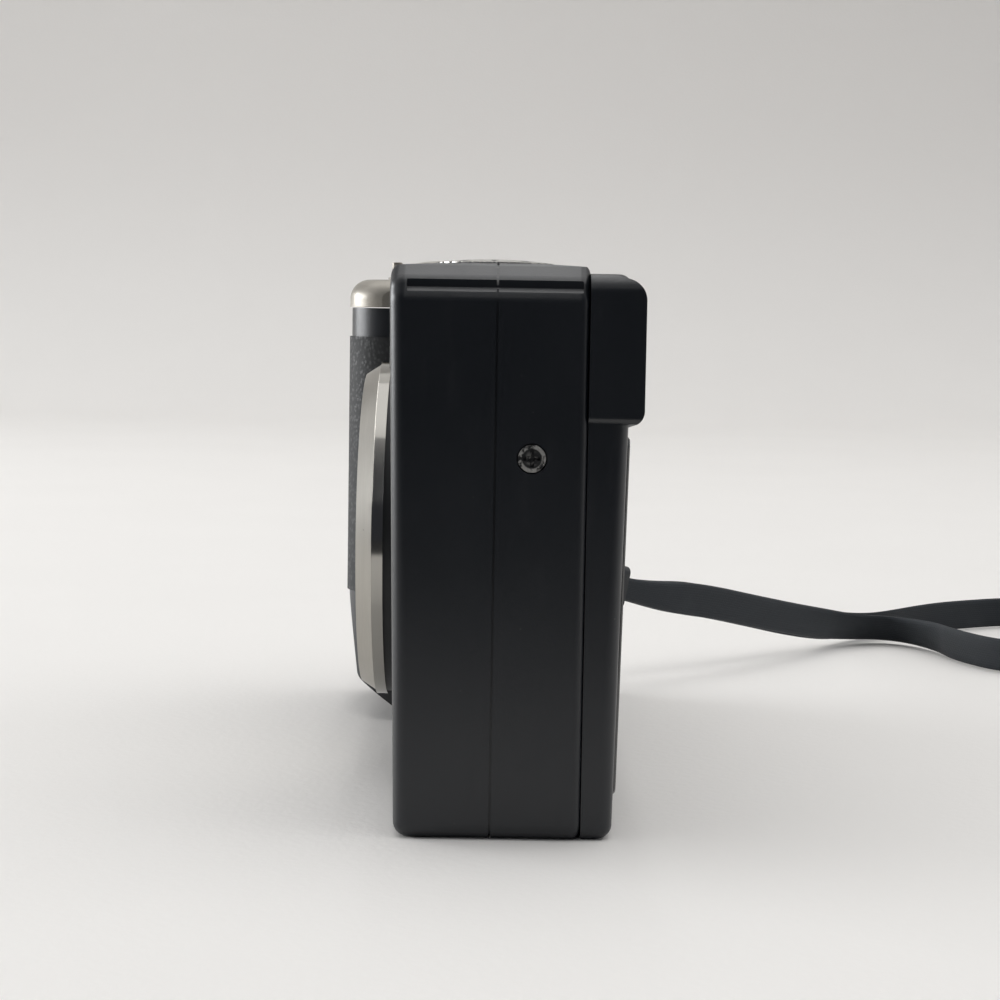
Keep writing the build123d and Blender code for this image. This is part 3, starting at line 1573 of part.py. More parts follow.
makers = {
    "front_cover": make_front_cover,
    "middle_shell": make_middle_shell,
    "back_cover": make_back_cover,
    "grip_cap": make_grip_cap,
    "grip_rubber": lambda: rubber_form(rubber_thickness, rubber_proud),
    "screen_cover": make_screen_cover,
    "screen_panel": make_screen_panel,
    "lens_base_ring": make_lens_base_ring,
    "lens_ring": make_lens_ring,
    "lens_base": make_lens_base,
    "fixed_barrel": make_fixed_barrel,
    "cam_ring": make_cam_ring,
    "outer_barrel": make_outer_barrel,
    "inner_barrel": make_inner_barrel,
    "barrier_cap": make_barrier_cap,
    "upper_blade": lambda: make_blade(1),
    "lower_blade": lambda: make_blade(-1),
    "front_lens": make_front_lens,
    "focus_group": make_focus_group,
    "zoom_motor": make_zoom_motor,
    "motor_pinion": make_motor_pinion,
    "image_sensor": make_image_sensor,
    "chassis": make_chassis,
    "main_board": make_main_board,
    "key_board": make_key_board,
    "flash_board": make_flash_board,
    "flash_capacitor": make_flash_capacitor,
    "finder_window": make_finder_window,
    "finder_tube": make_finder_tube,
    "finder_eyepiece": make_finder_eyepiece,
    "flash_window": make_flash_window,
    "flash_reflector": make_flash_reflector,
    "flash_tube": make_flash_tube,
    "focus_lamp": make_focus_lamp,
    "mode_dial": make_mode_dial,
    "shutter_button": make_shutter_button,
    "zoom_lever": make_zoom_lever,
    "power_button": make_power_button,
    "battery_cells": make_battery_cells,
    "battery_holder": make_battery_holder,
    "battery_contacts": make_battery_contacts,
    "memory_card": make_memory_card,
    "card_slot": make_card_slot,
    "battery_door": make_battery_door,
    "hinge_pins": make_hinge_pins,
    "tripod_socket": make_tripod_socket,
    "connector_door": make_connector_door,
    "connector_jack": make_connector_jack,
    "case_screws": make_case_screws,
    "strap_bar": make_strap_bar,
    "strap_ferrule": make_strap_ferrule,
    "strap_cord": make_strap_cord,
    "strap_webbing": make_strap_webbing,
}

os.makedirs("parts", exist_ok=True)
pieces = {name: maker() for name, maker in makers.items()}
pieces.update(make_keys())
for name, piece in pieces.items():
    export_step(piece, os.path.join("parts", name + ".step"))
print(len(pieces), "pieces written")
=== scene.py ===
# %% [markdown]
# # Dressing a small zoom camera for its picture
#
# The camera comes in as a finished construction: sixty pieces, each at its real size and in its
# real place, measured in metres. Nothing here moves or reshapes them. This lesson gives every
# piece its finish, makes the few soft pieces that a solid modeller can't make, such as the woven
# wrist strap, and then sets up a floor, lamps and a camera as in a small photo studio.

# %% Load the construction
from math import atan, cos, pi, radians, sin, sqrt, tan
import bmesh
import bpy
from mathutils import Matrix, Vector


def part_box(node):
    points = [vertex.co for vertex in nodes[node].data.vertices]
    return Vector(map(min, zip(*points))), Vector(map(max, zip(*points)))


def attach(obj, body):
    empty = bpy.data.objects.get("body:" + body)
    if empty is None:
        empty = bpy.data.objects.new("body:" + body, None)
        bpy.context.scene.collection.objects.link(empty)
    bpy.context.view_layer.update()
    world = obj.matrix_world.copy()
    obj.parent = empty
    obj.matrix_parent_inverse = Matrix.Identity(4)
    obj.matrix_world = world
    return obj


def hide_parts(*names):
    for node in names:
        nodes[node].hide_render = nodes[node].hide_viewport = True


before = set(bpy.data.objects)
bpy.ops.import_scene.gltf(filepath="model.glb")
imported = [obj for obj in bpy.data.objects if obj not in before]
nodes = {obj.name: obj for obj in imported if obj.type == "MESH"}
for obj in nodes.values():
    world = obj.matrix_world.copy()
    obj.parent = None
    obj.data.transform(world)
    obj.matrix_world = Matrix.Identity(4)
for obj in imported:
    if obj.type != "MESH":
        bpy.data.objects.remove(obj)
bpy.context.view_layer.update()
mm = 0.001
print("pieces:", len(nodes))

# %% [markdown]
# ## The viewpoint
#
# The picture is taken from the flat side, a little above the middle of the object and almost
# level. A short distance of 28 cm gives the strong narrowing towards the far side. It could be
# aimed with a tracking constraint, but a matrix built from three directions is exact and shows
# what a camera is: it looks along its own -Z, with its own Y upwards.

# %% Place the camera
eye = Vector((0.282, -0.00426, 0.0592))
pitch = radians(5.0)
roll = radians(0.95)
view_direction = Vector((-cos(pitch), 0, -sin(pitch)))
level_right = Vector((0, 1, 0))
level_up = level_right.cross(view_direction)
right = level_right * cos(roll) + level_up * sin(roll)
up = level_up * cos(roll) - level_right * sin(roll)
lens = bpy.data.cameras.new("view")
lens.sensor_width = 36
lens.lens = 77.26
lens.clip_start = 0.01
viewer = bpy.data.objects.new("view", lens)
viewer.matrix_world = Matrix((
    (right.x, up.x, -view_direction.x, eye.x),
    (right.y, up.y, -view_direction.y, eye.y),
    (right.z, up.z, -view_direction.z, eye.z),
    (0, 0, 0, 1)))
bpy.context.scene.collection.objects.link(viewer)
bpy.context.scene.camera = viewer
bpy.context.scene.view_settings.view_transform = "Standard"
print("camera at", [round(value, 3) for value in eye])

# %% [markdown]
# ## Writing shaders as sums
#
# Blender's materials are nodes joined by wires. Placing dozens of Math nodes by hand hides what
# they calculate, so one small class stands for a wire. Python's own signs on it add the nodes:
# `mask * 0.2 + 0.4` becomes two Math nodes. Any other node comes from the one method `node`,
# which takes the node's type, its settings, and the values of its sockets.

# %% A wire between nodes
class Wire:
    """One output socket in a material. Signs such as + and * on it add Math nodes."""

    def __init__(self, tree, socket=None):
        self.tree = tree
        self.socket = socket

    def feed(self, target, value):
        if isinstance(value, Wire):
            self.tree.links.new(value.socket, target)
        else:
            target.default_value = value

    def node(self, kind, settings=None, sockets=None, output=0):
        made = self.tree.nodes.new("ShaderNode" + kind)
        for name, value in (settings or {}).items():
            if name == "stops":
                while len(made.color_ramp.elements) < len(value):
                    made.color_ramp.elements.new(0.5)
                for stop, (position, colour) in zip(made.color_ramp.elements, value):
                    stop.position = position
                    stop.color = colour
            else:
                setattr(made, name, value)
        for name, value in (sockets or {}).items():
            self.feed(made.inputs[name], value)
        return Wire(self.tree, made.outputs[output])

    def sum(self, operation, *values):
        return self.node("Math", {"operation": operation}, dict(enumerate(values)))

    def __add__(self, other):
        return self.sum("ADD", self, other)

    def __radd__(self, other):
        return self.sum("ADD", other, self)

    def __sub__(self, other):
        return self.sum("SUBTRACT", self, other)

    def __rsub__(self, other):
        return self.sum("SUBTRACT", other, self)

    def __mul__(self, other):
        return self.sum("MULTIPLY", self, other)

    def __rmul__(self, other):
        return self.sum("MULTIPLY", other, self)

    def __truediv__(self, other):
        return self.sum("DIVIDE", self, other)

    def __rtruediv__(self, other):
        return self.sum("DIVIDE", other, self)

    def parts(self):
        """The three numbers of a vector, as three wires."""
        split = self.node("SeparateXYZ", None, {0: self}).socket.node
        return [Wire(self.tree, output) for output in split.outputs]

    def rises(self, low, high):
        """0 below low, 1 above high, and a smooth step between them."""
        return self.node("MapRange", {"interpolation_type": "SMOOTHSTEP"},
                         {"Value": self, "From Min": low, "From Max": high})

    def within(self, low, high, soft):
        """1 between low and high, 0 outside, with soft edges."""
        return self.rises(low - soft, low + soft) * (1 - self.rises(high - soft, high + soft))

    def root(self):
        return self.sum("SQRT", self)

    def wave(self, length):
        """Goes up and down between 0 and 1, once in each length."""
        return self.sum("SINE", self * (2 * pi / length)) * 0.5 + 0.5


print("wires can add, subtract, multiply and divide")

# %% [markdown]
# ## A new finish
#
# Every finish here is one Principled shader. What is the same all over, such as the strength of
# a coat, is set on the shader itself. What changes over the surface is fed to it by wires. The
# pattern is measured from Object coordinates, which are metres on the real object, so a grain
# of a fifth of a millimetre is that size on every piece, large or small.

# %% Start a finish and paint a piece
class Finish:
    """A material in the making: its shader and the place that its pattern is measured from."""

    def __init__(self, name, **constants):
        self.material = bpy.data.materials.new(name)
        self.material.use_nodes = True
        self.tree = self.material.node_tree
        self.shader = self.tree.nodes["Principled BSDF"]
        for socket, value in constants.items():
            self.shader.inputs[socket.replace("_", " ")].default_value = value
        self.place = Wire(self.tree).node("TexCoord", output="Object")

    def set(self, socket, value):
        Wire(self.tree).feed(self.shader.inputs[socket], value)

    def relief(self, height, depth):
        """Bumps of a height between 0 and 1, as deep as depth in metres."""
        self.set("Normal", Wire(self.tree).node("Bump", None, {
            "Height": height, "Distance": depth, "Strength": 1.0}))

    def noise(self, grain, detail=2.0, place=None, roughness=0.5):
        """Cloudy values about 0.5, with clouds as large as grain in metres."""
        return self.place.node("TexNoise", {"noise_dimensions": "3D"}, {
            "Vector": place or self.place, "Scale": 1 / grain, "Detail": detail,
            "Roughness": roughness})

    def cells(self, grain, place=None):
        """Distance to the nearest of many scattered points, grain metres apart."""
        return self.place.node("TexVoronoi", {"feature": "F1"}, {
            "Vector": place or self.place, "Scale": 1 / grain})

    def colour(self, mask, first, second):
        """Goes from the first colour to the second where mask goes from 0 to 1."""
        def full(value):
            return value if isinstance(value, Wire) else (*value, 1.0)
        return self.place.node("Mix", {"data_type": "RGBA"}, {
            0: mask, 6: full(first), 7: full(second)}, output=2)

    def stretched(self, x, y, z):
        """The place, drawn out so that patterns become streaks."""
        return self.place.node("VectorMath", {"operation": "MULTIPLY"}, {
            0: self.place, 1: (x, y, z)})

    def dust(self, share=0.08, grain=0.9 * mm):
        """A few tiny specks, as masks: 1 on a speck and 0 between specks."""
        scattered = self.cells(grain)
        chosen = self.noise(2.7 * mm, 1.0)
        return (1 - scattered.rises(0.05, share)) * chosen.rises(0.60, 0.66)


def wear(finish, *names):
    """Gives the finish to the construction's pieces of these names."""
    for name in names:
        for place in nodes[name].material_slots:
            place.material = finish.material


lens_height = 30.7 * mm


def about_lens(finish):
    """Place across the lens, place along its axis, and distance from the axis."""
    x, y, z = finish.place.parts()
    above = z - lens_height
    return x, y, (x * x + above * above).root()


print("finishes start from a Principled shader")

# %% [markdown]
# ## Satin black case
#
# The case is moulded plastic with a thin satin paint. It isn't pure black: the photograph shows
# a blue-black a little lighter than ink, and soft, wide highlights on the rounded edges. A real
# painted moulding has a very fine orange-peel grain, cloudy patches where hands have polished
# it, and some dust. Each of these is small alone, and together they stop the surface from
# looking like a flat computer black.

# %% Mix the satin black
case_black = Finish("satin_black_case", IOR=1.54)
patches = case_black.noise(11 * mm, 3.0)
peel = case_black.noise(0.34 * mm, 2.0)
fine = case_black.noise(0.11 * mm, 1.0)
specks = case_black.dust(0.075, 1.6 * mm)
rubbed = case_black.noise(1.9 * mm, 5.0, case_black.stretched(1, 1, 0.12)).rises(0.58, 0.72)
black = case_black.colour(patches, (0.0055, 0.0074, 0.0105), (0.0080, 0.0100, 0.0140))
black = case_black.colour(specks * 0.5, black, (0.070, 0.070, 0.066))
case_black.set("Base Color", black)
case_black.set("Roughness", patches * 0.10 + fine * 0.06 + rubbed * 0.05 + 0.25)
case_black.relief(peel * 0.7 + fine * 0.3, 0.012 * mm)
black_pieces = ("front_cover", "middle_shell", "back_cover", "battery_door", "connector_door",
                "strap_ferrule")
wear(case_black, *black_pieces)
print("satin black on", len(black_pieces), "pieces")

# %% [markdown]
# ## Warm silver paint
#
# The cap on the grip, the zoom lever and the power button are plastic under a warm silver
# paint. The paint holds tiny metal flakes that each face another way, which is why it glitters
# less than real metal but changes with the light. Half metallic, with a flake pattern in the
# colour and the normal, gives that.

# %% Mix the silver paint
silver_paint = Finish("warm_silver_paint", Metallic=0.55, Coat_Weight=0.25, Coat_Roughness=0.2)
flakes = silver_paint.cells(0.10 * mm)
cloud = silver_paint.noise(6 * mm, 2.0)
specks = silver_paint.dust(0.09, 1.8 * mm)
paint = silver_paint.colour(flakes, (0.40, 0.375, 0.33), (0.31, 0.29, 0.25))
paint = silver_paint.colour(specks * 0.3, paint, (0.12, 0.11, 0.10))
silver_paint.set("Base Color", paint)
silver_paint.set("Roughness", cloud * 0.12 + flakes * 0.10 + 0.30)
silver_paint.relief(flakes, 0.006 * mm)
wear(silver_paint, "grip_cap", "zoom_lever", "power_button")
print("silver paint mixed")

# %% [markdown]
# ## Rubber of the grip
#
# The pad is a soft moulding with a stippled skin, so that fingers don't slip. The stipples are
# raised dots a bit over half a millimetre apart. Voronoi cells give dots that aren't in rows,
# and turning the distance over makes the middle of each cell the high point.

# %% Mix the rubber
rubber = Finish("stippled_rubber", IOR=1.5)
dots = rubber.cells(0.62 * mm)
dome = 1 - dots.rises(0.10, 0.62)
handled = rubber.noise(9 * mm, 3.0)
# painted shade: the colour is darker between the dots and lighter on their raised tops
soot = rubber.colour(dome, (0.011, 0.012, 0.013), (0.020, 0.0215, 0.0225))
soot = rubber.colour(handled.rises(0.62, 0.8) * 0.5, soot, (0.032, 0.033, 0.034))
rubber.set("Base Color", soot)
rubber.set("Roughness", 0.72 - dome * 0.14 - handled * 0.10)
rubber.relief(dome + rubber.noise(0.15 * mm, 1.0) * 0.15, 0.03 * mm)
wear(rubber, "grip_rubber")
print("rubber mixed")

# %% [markdown]
# ## Lens ring: brushed cone and bright band
#
# The ring is turned from one piece. Its cone was brushed while it turned, so the lines run
# round it, and its edge band was left bright. Lines round an axis are a noise that is stretched
# round that axis: here the noise is read from the distance to the axis and the depth alone, so
# it can't change as it goes round. A second, weaker noise breaks the lines up, as real brushing
# never runs the full circle.

# %% Mix the ring's metal
ring_metal = Finish("brushed_lens_ring", Metallic=1.0)
x, y, away = about_lens(ring_metal)
bright_band = y.within(-19.9 * mm, -18.0 * mm, 0.10 * mm)
turned_place = ring_metal.place.node("CombineXYZ", None, {0: away * 14, 1: y * 14, 2: x * 0.5})
lines = ring_metal.noise(0.9 * mm, 4.0, turned_place, 0.65)
broken = ring_metal.noise(4.0 * mm, 3.0)
pits = ring_metal.dust(0.11, 1.1 * mm)
grey = ring_metal.colour(lines, (0.36, 0.345, 0.312), (0.52, 0.50, 0.46))
grey = ring_metal.colour(pits * 0.4, grey, (0.11, 0.10, 0.09))
metal = ring_metal.colour(bright_band, grey, (0.36, 0.35, 0.325))
ring_metal.set("Base Color", metal)
dull = lines * 0.14 + broken * 0.10 + 0.27
ring_metal.set("Roughness", dull * (1 - bright_band) + bright_band * (broken * 0.05 + 0.07))
ring_metal.relief((lines + broken * 0.2) * (1 - bright_band), 0.012 * mm)
wear(ring_metal, "lens_ring")
print("ring metal mixed")

# %% [markdown]
# ## Turned metal inside the lens
#
# Barrels, the barrier cap, the dial and the release button are turned and then anodised. On a
# barrel the tool marks are rings one after another along the axis, so a noise of the depth
# alone draws them. On the cap's flat face they are circles, which is a noise of the distance
# to the axis. Reading both in one noise covers the flat and the round faces at once.

# %% Mix the turned metals
def turned_metal(name, first, second, dull, middle, round_z):
    """Metal with lathe marks about an axis through middle, upright or along the lens."""
    metal = Finish(name, Metallic=1.0)
    x, y, z = metal.place.parts()
    if round_z:
        away = ((x - middle[0]) * (x - middle[0]) + (y - middle[1]) * (y - middle[1])).root()
        deep = z
    else:
        away = (x * x + (z - middle[2]) * (z - middle[2])).root()
        deep = y
    place = metal.place.node("CombineXYZ", None, {0: away * 10, 1: deep * 10})
    marks = metal.noise(1.1 * mm, 3.0, place, 0.6)
    stains = metal.noise(5 * mm, 3.0)
    metal.set("Base Color", metal.colour(marks * 0.6 + stains * 0.4, first, second))
    metal.set("Roughness", marks * 0.14 + stains * 0.08 + dull)
    metal.relief(marks, 0.006 * mm)
    return metal


lens_middle = (0, 0, lens_height)
dial_middle = (-13 * mm, -5.5 * mm, 0)
button_middle = (-43 * mm, -14 * mm, 0)
barrel_metal = turned_metal("turned_barrel", (0.36, 0.35, 0.32), (0.48, 0.47, 0.44), 0.26,
                            lens_middle, False)
cap_metal = turned_metal("turned_barrier_cap", (0.50, 0.48, 0.44), (0.62, 0.60, 0.56), 0.20,
                         lens_middle, False)
dial_metal = turned_metal("turned_dial", (0.50, 0.49, 0.46), (0.66, 0.65, 0.62), 0.16,
                          dial_middle, True)
button_metal = turned_metal("turned_button", (0.50, 0.48, 0.44), (0.62, 0.60, 0.56), 0.20,
                            button_middle, True)
wear(barrel_metal, "outer_barrel", "inner_barrel")
wear(cap_metal, "barrier_cap")
wear(dial_metal, "mode_dial")
wear(button_metal, "shutter_button")
print("four turned metals mixed")

# %% [markdown]
# ## Plain mouldings
#
# Holders, tubes and gears come out of the mould as they are, without paint. Their skin copies
# the mould, which was spark-eroded to a fine frost, and flow marks show as slow changes in
# gloss. One helper makes them all, with a colour, a gloss and a grain of their own.

# %% Mix the mouldings
def moulding(name, first, second, dull, grain=0.22 * mm, depth=0.012 * mm, **constants):
    """Plain moulded plastic with slow flow marks and a frosted skin."""
    plastic = Finish(name, **constants)
    flow = plastic.noise(7 * mm, 3.0, plastic.stretched(1, 1, 0.4))
    frost = plastic.noise(grain, 2.0)
    plastic.set("Base Color", plastic.colour(flow, first, second))
    plastic.set("Roughness", flow * 0.12 + frost * 0.10 + dull)
    plastic.relief(frost, depth)
    return plastic


inner_black = moulding("plain_black_moulding", (0.014, 0.014, 0.015), (0.026, 0.026, 0.027), 0.45)
base_black = moulding("lens_base_ring_black", (0.009, 0.010, 0.0115), (0.014, 0.015, 0.017), 0.38)
cam_grey = moulding("slippery_grey_moulding", (0.042, 0.042, 0.047), (0.060, 0.060, 0.066), 0.34)
gear_cream = moulding("natural_gear_plastic", (0.55, 0.52, 0.45), (0.66, 0.64, 0.57), 0.38)
lamp_orange = moulding("tinted_lamp_moulding", (0.55, 0.20, 0.08), (0.68, 0.30, 0.14), 0.08,
                       depth=0.002 * mm, Coat_Weight=0.6)
key_grey = moulding("smooth_key_moulding", (0.050, 0.050, 0.054), (0.068, 0.068, 0.073), 0.22,
                    depth=0.003 * mm)
blade_black = moulding("blackened_blade", (0.012, 0.012, 0.012), (0.020, 0.020, 0.020), 0.42,
                       0.12 * mm, 0.005 * mm)
wear(inner_black, "lens_base", "fixed_barrel", "focus_group", "battery_holder",
     "connector_jack", "finder_tube")
wear(base_black, "lens_base_ring")
wear(cam_grey, "cam_ring")
wear(gear_cream, "motor_pinion")
wear(lamp_orange, "focus_lamp")
wear(key_grey, "ok_key", "right_key", "up_key", "left_key", "down_key", "display_key", "menu_key")
wear(blade_black, "upper_blade", "lower_blade")
print("seven mouldings mixed")

# %% [markdown]
# ## Steel
#
# The frame, the card slot, the battery contacts and the pins are sheet or drawn steel with a
# plain finish. Rolled sheet has fine streaks in the direction in which it was rolled, which a
# noise gives when its place is drawn out along one axis, and tarnish where air got to it.

# %% Mix the steel
steel = Finish("rolled_steel", Metallic=1.0)
rolled = steel.noise(0.5 * mm, 3.0, steel.stretched(0.06, 1, 1))
tarnish = steel.noise(4 * mm, 4.0)
steel.set("Base Color", steel.colour(tarnish, (0.44, 0.43, 0.41), (0.58, 0.58, 0.57)))
steel.set("Roughness", rolled * 0.16 + tarnish * 0.10 + 0.22)
steel.relief(rolled, 0.004 * mm)
wear(steel, "zoom_motor", "chassis", "battery_contacts", "card_slot", "hinge_pins",
     "tripod_socket", "strap_bar")

mirror = Finish("bright_reflector", Metallic=1.0)
ripple = mirror.noise(0.8 * mm, 2.0)
mirror.set("Base Color", mirror.colour(ripple, (0.78, 0.78, 0.77), (0.86, 0.86, 0.85)))
mirror.set("Roughness", ripple * 0.08 + 0.10)
mirror.relief(ripple, 0.02 * mm)
wear(mirror, "flash_reflector")
print("steel and reflector mixed")

# %% [markdown]
# ## The side screw
#
# One small screw head shows on the flat side. It is blackened, and a screwdriver has worn the
# black off its rim and the slot's edges, so it reads as a dark disc in a bright, broken ring.
# The ring is a band of distance from the screw's middle, broken up with noise. The same finish
# is used for the other screws, which have no wear because the band lies elsewhere.

# %% Mix the screw
screw = Finish("worn_black_screw", Metallic=1.0)
x, y, z = screw.place.parts()
screw_y = -0.8 * mm
screw_z = 43.1 * mm
from_middle = ((y - screw_y) * (y - screw_y) + (z - screw_z) * (z - screw_z)).root()
chipped = screw.noise(0.55 * mm, 3.0)
rim = from_middle.within(1.12 * mm, 1.62 * mm, 0.09 * mm) * chipped.rises(0.38, 0.56)
near_slot = (1 - from_middle.rises(0.35 * mm, 1.05 * mm)) * chipped.rises(0.5, 0.62) * 0.35
bare_metal = (rim + near_slot) * x.rises(40 * mm, 41 * mm)
screw.set("Base Color", screw.colour(bare_metal, (0.045, 0.046, 0.048), (0.62, 0.61, 0.58)))
screw.set("Roughness", 0.46 - bare_metal * 0.10 + chipped * 0.10)
screw.relief(chipped, 0.03 * mm)
wear(screw, "case_screws")
print("screw mixed")

# %% [markdown]
# ## Glass and the screen
#
# Clear pieces let light through, so their shader transmits instead of reflecting colour. The
# front lens carries a coating that tints its reflection. The screen cover isn't see-through in
# use: it is a hard, polished sheet, black at its border, with the dark panel shining through
# inside. A box-shaped mask marks that window, and fingers leave faint smears in the gloss.

# %% Mix the clear pieces
lens_glass = Finish("coated_lens_glass", Transmission_Weight=1.0, IOR=1.6, Coat_Weight=0.6,
                    Coat_Roughness=0.03, Coat_Tint=(0.55, 0.45, 0.95, 1.0))
bloom = lens_glass.noise(5 * mm, 2.0)
lens_glass.set("Base Color", lens_glass.colour(bloom, (0.80, 0.86, 0.95), (0.90, 0.93, 0.97)))
lens_glass.set("Roughness", bloom * 0.03 + 0.01)
wear(lens_glass, "front_lens")

clear_glass = Finish("clear_window_moulding", Transmission_Weight=1.0, IOR=1.49)
haze = clear_glass.noise(3 * mm, 3.0)
clear_glass.set("Base Color", clear_glass.colour(haze, (0.80, 0.84, 0.86), (0.90, 0.92, 0.93)))
clear_glass.set("Roughness", haze * 0.05 + 0.02)
wear(clear_glass, "finder_window", "finder_eyepiece", "flash_tube")

flash_glass = Finish("ribbed_flash_window", Transmission_Weight=0.85, IOR=1.49)
x, y, z = flash_glass.place.parts()
ribs = x.wave(0.8 * mm)
flash_glass.set("Base Color", flash_glass.colour(ribs, (0.74, 0.76, 0.76), (0.90, 0.91, 0.90)))
flash_glass.set("Roughness", ribs * 0.08 + 0.08)
flash_glass.relief(ribs, 0.10 * mm)
wear(flash_glass, "flash_window")

screen = Finish("polished_screen_cover", Coat_Weight=1.0, Coat_Roughness=0.03, IOR=1.5)
cover_low, cover_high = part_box("screen_cover")
x, y, z = screen.place.parts()
pane = (x.within(cover_low.x + 4 * mm, cover_high.x - 4 * mm, 0.05 * mm)
        * z.within(cover_low.z + 2.5 * mm, cover_high.z - 2.5 * mm, 0.05 * mm))
smears = screen.noise(6 * mm, 5.0, screen.stretched(1, 1, 0.35)).rises(0.52, 0.78)
lint = screen.dust(0.06, 1.2 * mm)
tone = screen.colour(pane, (0.0045, 0.0045, 0.0052), (0.014, 0.015, 0.019))
tone = screen.colour(lint * 0.7, tone, (0.22, 0.22, 0.21))
screen.set("Base Color", tone)
screen.set("Roughness", smears * 0.16 + lint * 0.3 + 0.06)
screen.relief(smears, 0.002 * mm)
wear(screen, "screen_cover")

panel = Finish("dark_panel", Coat_Weight=0.8, Coat_Roughness=0.05)
across_panel = panel.noise(2.4 * mm, 2.0)
panel.set("Base Color", panel.colour(across_panel, (0.016, 0.018, 0.024), (0.028, 0.030, 0.036)))
panel.set("Roughness", across_panel * 0.1 + 0.16)
wear(panel, "screen_panel", "image_sensor")
print("clear pieces and screen mixed")

# %% [markdown]
# ## Circuit boards
#
# A board is glass fibre under green varnish. Copper tracks run under the varnish as slightly
# lighter lines at right angles, and tinned pads show bare. Brick textures give a quick maze of
# tracks: the mortar between the bricks is the track. A scatter of cells gives the small plated
# holes. The pattern only needs to be right in kind, because nobody sees it until the case is
# taken apart.

# %% Mix the circuit board
board = Finish("varnished_circuit_board", Coat_Weight=0.35, Coat_Roughness=0.2)
x, y, z = board.place.parts()
flat_place = board.place.node("CombineXYZ", None, {0: x, 1: z})
maze = board.place.node("TexBrick", {"offset": 0.37, "squash": 1.6, "squash_frequency": 3}, {
    "Vector": flat_place, "Scale": 1 / (4.2 * mm), "Mortar Size": 0.045, "Brick Width": 0.9,
    "Row Height": 0.34}, output="Fac")
holes = board.cells(2.3 * mm, flat_place)
pads = 1 - holes.rises(0.16, 0.20)
weave_of_board = board.noise(0.4 * mm, 2.0)
varnish = board.colour(weave_of_board, (0.012, 0.085, 0.042), (0.020, 0.115, 0.058))
varnish = board.colour(maze, varnish, (0.035, 0.19, 0.10))
board.set("Base Color", board.colour(pads, varnish, (0.52, 0.46, 0.30)))
board.set("Metallic", pads * 0.9)
board.set("Roughness", 0.34 - pads * 0.06 + weave_of_board * 0.08)
board.relief(maze * 0.5 + pads, 0.03 * mm)
wear(board, "main_board", "key_board", "flash_board")
print("circuit boards mixed")

# %% [markdown]
# ## Batteries, capacitor and card
#
# The two cells wear a plain shrink sleeve with a coloured band near the plus end and leave the
# steel nub bare. Bands are masks of the height. The capacitor's sleeve has the pale stripe that
# marks its minus side. The memory card is plain, with a row of gold contacts near its lower
# end. No label or word is drawn on any of them.

# %% Mix the sleeves and the card
sleeve = Finish("plain_battery_sleeve", Coat_Weight=0.5, Coat_Roughness=0.12)
cell_box_low, cell_box_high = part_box("battery_cells")
x, y, z = sleeve.place.parts()
band = z.within(cell_box_low.z + 9 * mm, cell_box_low.z + 15 * mm, 0.05 * mm)
ends = (1 - z.rises(cell_box_low.z + 1.0 * mm, cell_box_low.z + 1.2 * mm)) + z.rises(
    cell_box_high.z - 1.7 * mm, cell_box_high.z - 1.5 * mm)
scuffs = sleeve.noise(2.2 * mm, 4.0)
foil = sleeve.colour(scuffs, (0.055, 0.075, 0.105), (0.080, 0.100, 0.130))
foil = sleeve.colour(band, foil, (0.62, 0.60, 0.55))
sleeve.set("Base Color", sleeve.colour(ends, foil, (0.60, 0.60, 0.59)))
sleeve.set("Metallic", ends * 0.95)
sleeve.set("Roughness", scuffs * 0.12 + 0.20)
wear(sleeve, "battery_cells")

capacitor = Finish("capacitor_sleeve", Coat_Weight=0.3)
capacitor_low, capacitor_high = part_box("flash_capacitor")
x, y, z = capacitor.place.parts()
middle_x = (capacitor_low.x + capacitor_high.x) / 2
stripe = (x - middle_x).within(-1.1 * mm, 1.1 * mm, 0.05 * mm)
wrinkles = capacitor.noise(1.4 * mm, 3.0)
vinyl = capacitor.colour(wrinkles, (0.016, 0.017, 0.020), (0.028, 0.029, 0.032))
capacitor.set("Base Color", capacitor.colour(stripe, vinyl, (0.34, 0.34, 0.33)))
capacitor.set("Roughness", wrinkles * 0.15 + 0.28)
capacitor.relief(wrinkles, 0.05 * mm)
wear(capacitor, "flash_capacitor")

card = Finish("plain_memory_card")
card_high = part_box("memory_card")[1]
x, y, z = card.place.parts()
contact_row = (z.within(card_high.z - 6.0 * mm, card_high.z - 1.2 * mm, 0.04 * mm)
               * x.wave(2.5 * mm).rises(0.32, 0.40))
dots = card.noise(0.25 * mm, 2.0)
body_blue = card.colour(dots, (0.022, 0.036, 0.090), (0.034, 0.052, 0.125))
card.set("Base Color", card.colour(contact_row, body_blue, (0.78, 0.57, 0.22)))
card.set("Metallic", contact_row)
card.set("Roughness", 0.44 - contact_row * 0.2 + dots * 0.1)
card.relief(dots - contact_row * 2, 0.02 * mm)
wear(card, "memory_card")
print("sleeves and card mixed")

# %% [markdown]
# ## The wrist strap's line
#
# The strap is a flat woven tape on a thin cord. Both follow a smooth line, so the line comes
# first: a NURBS spline of order three glides near its control points without passing through
# them, the way a limp strap rounds its corners. Reading the curved line back as a mesh gives
# points that the tape can follow.

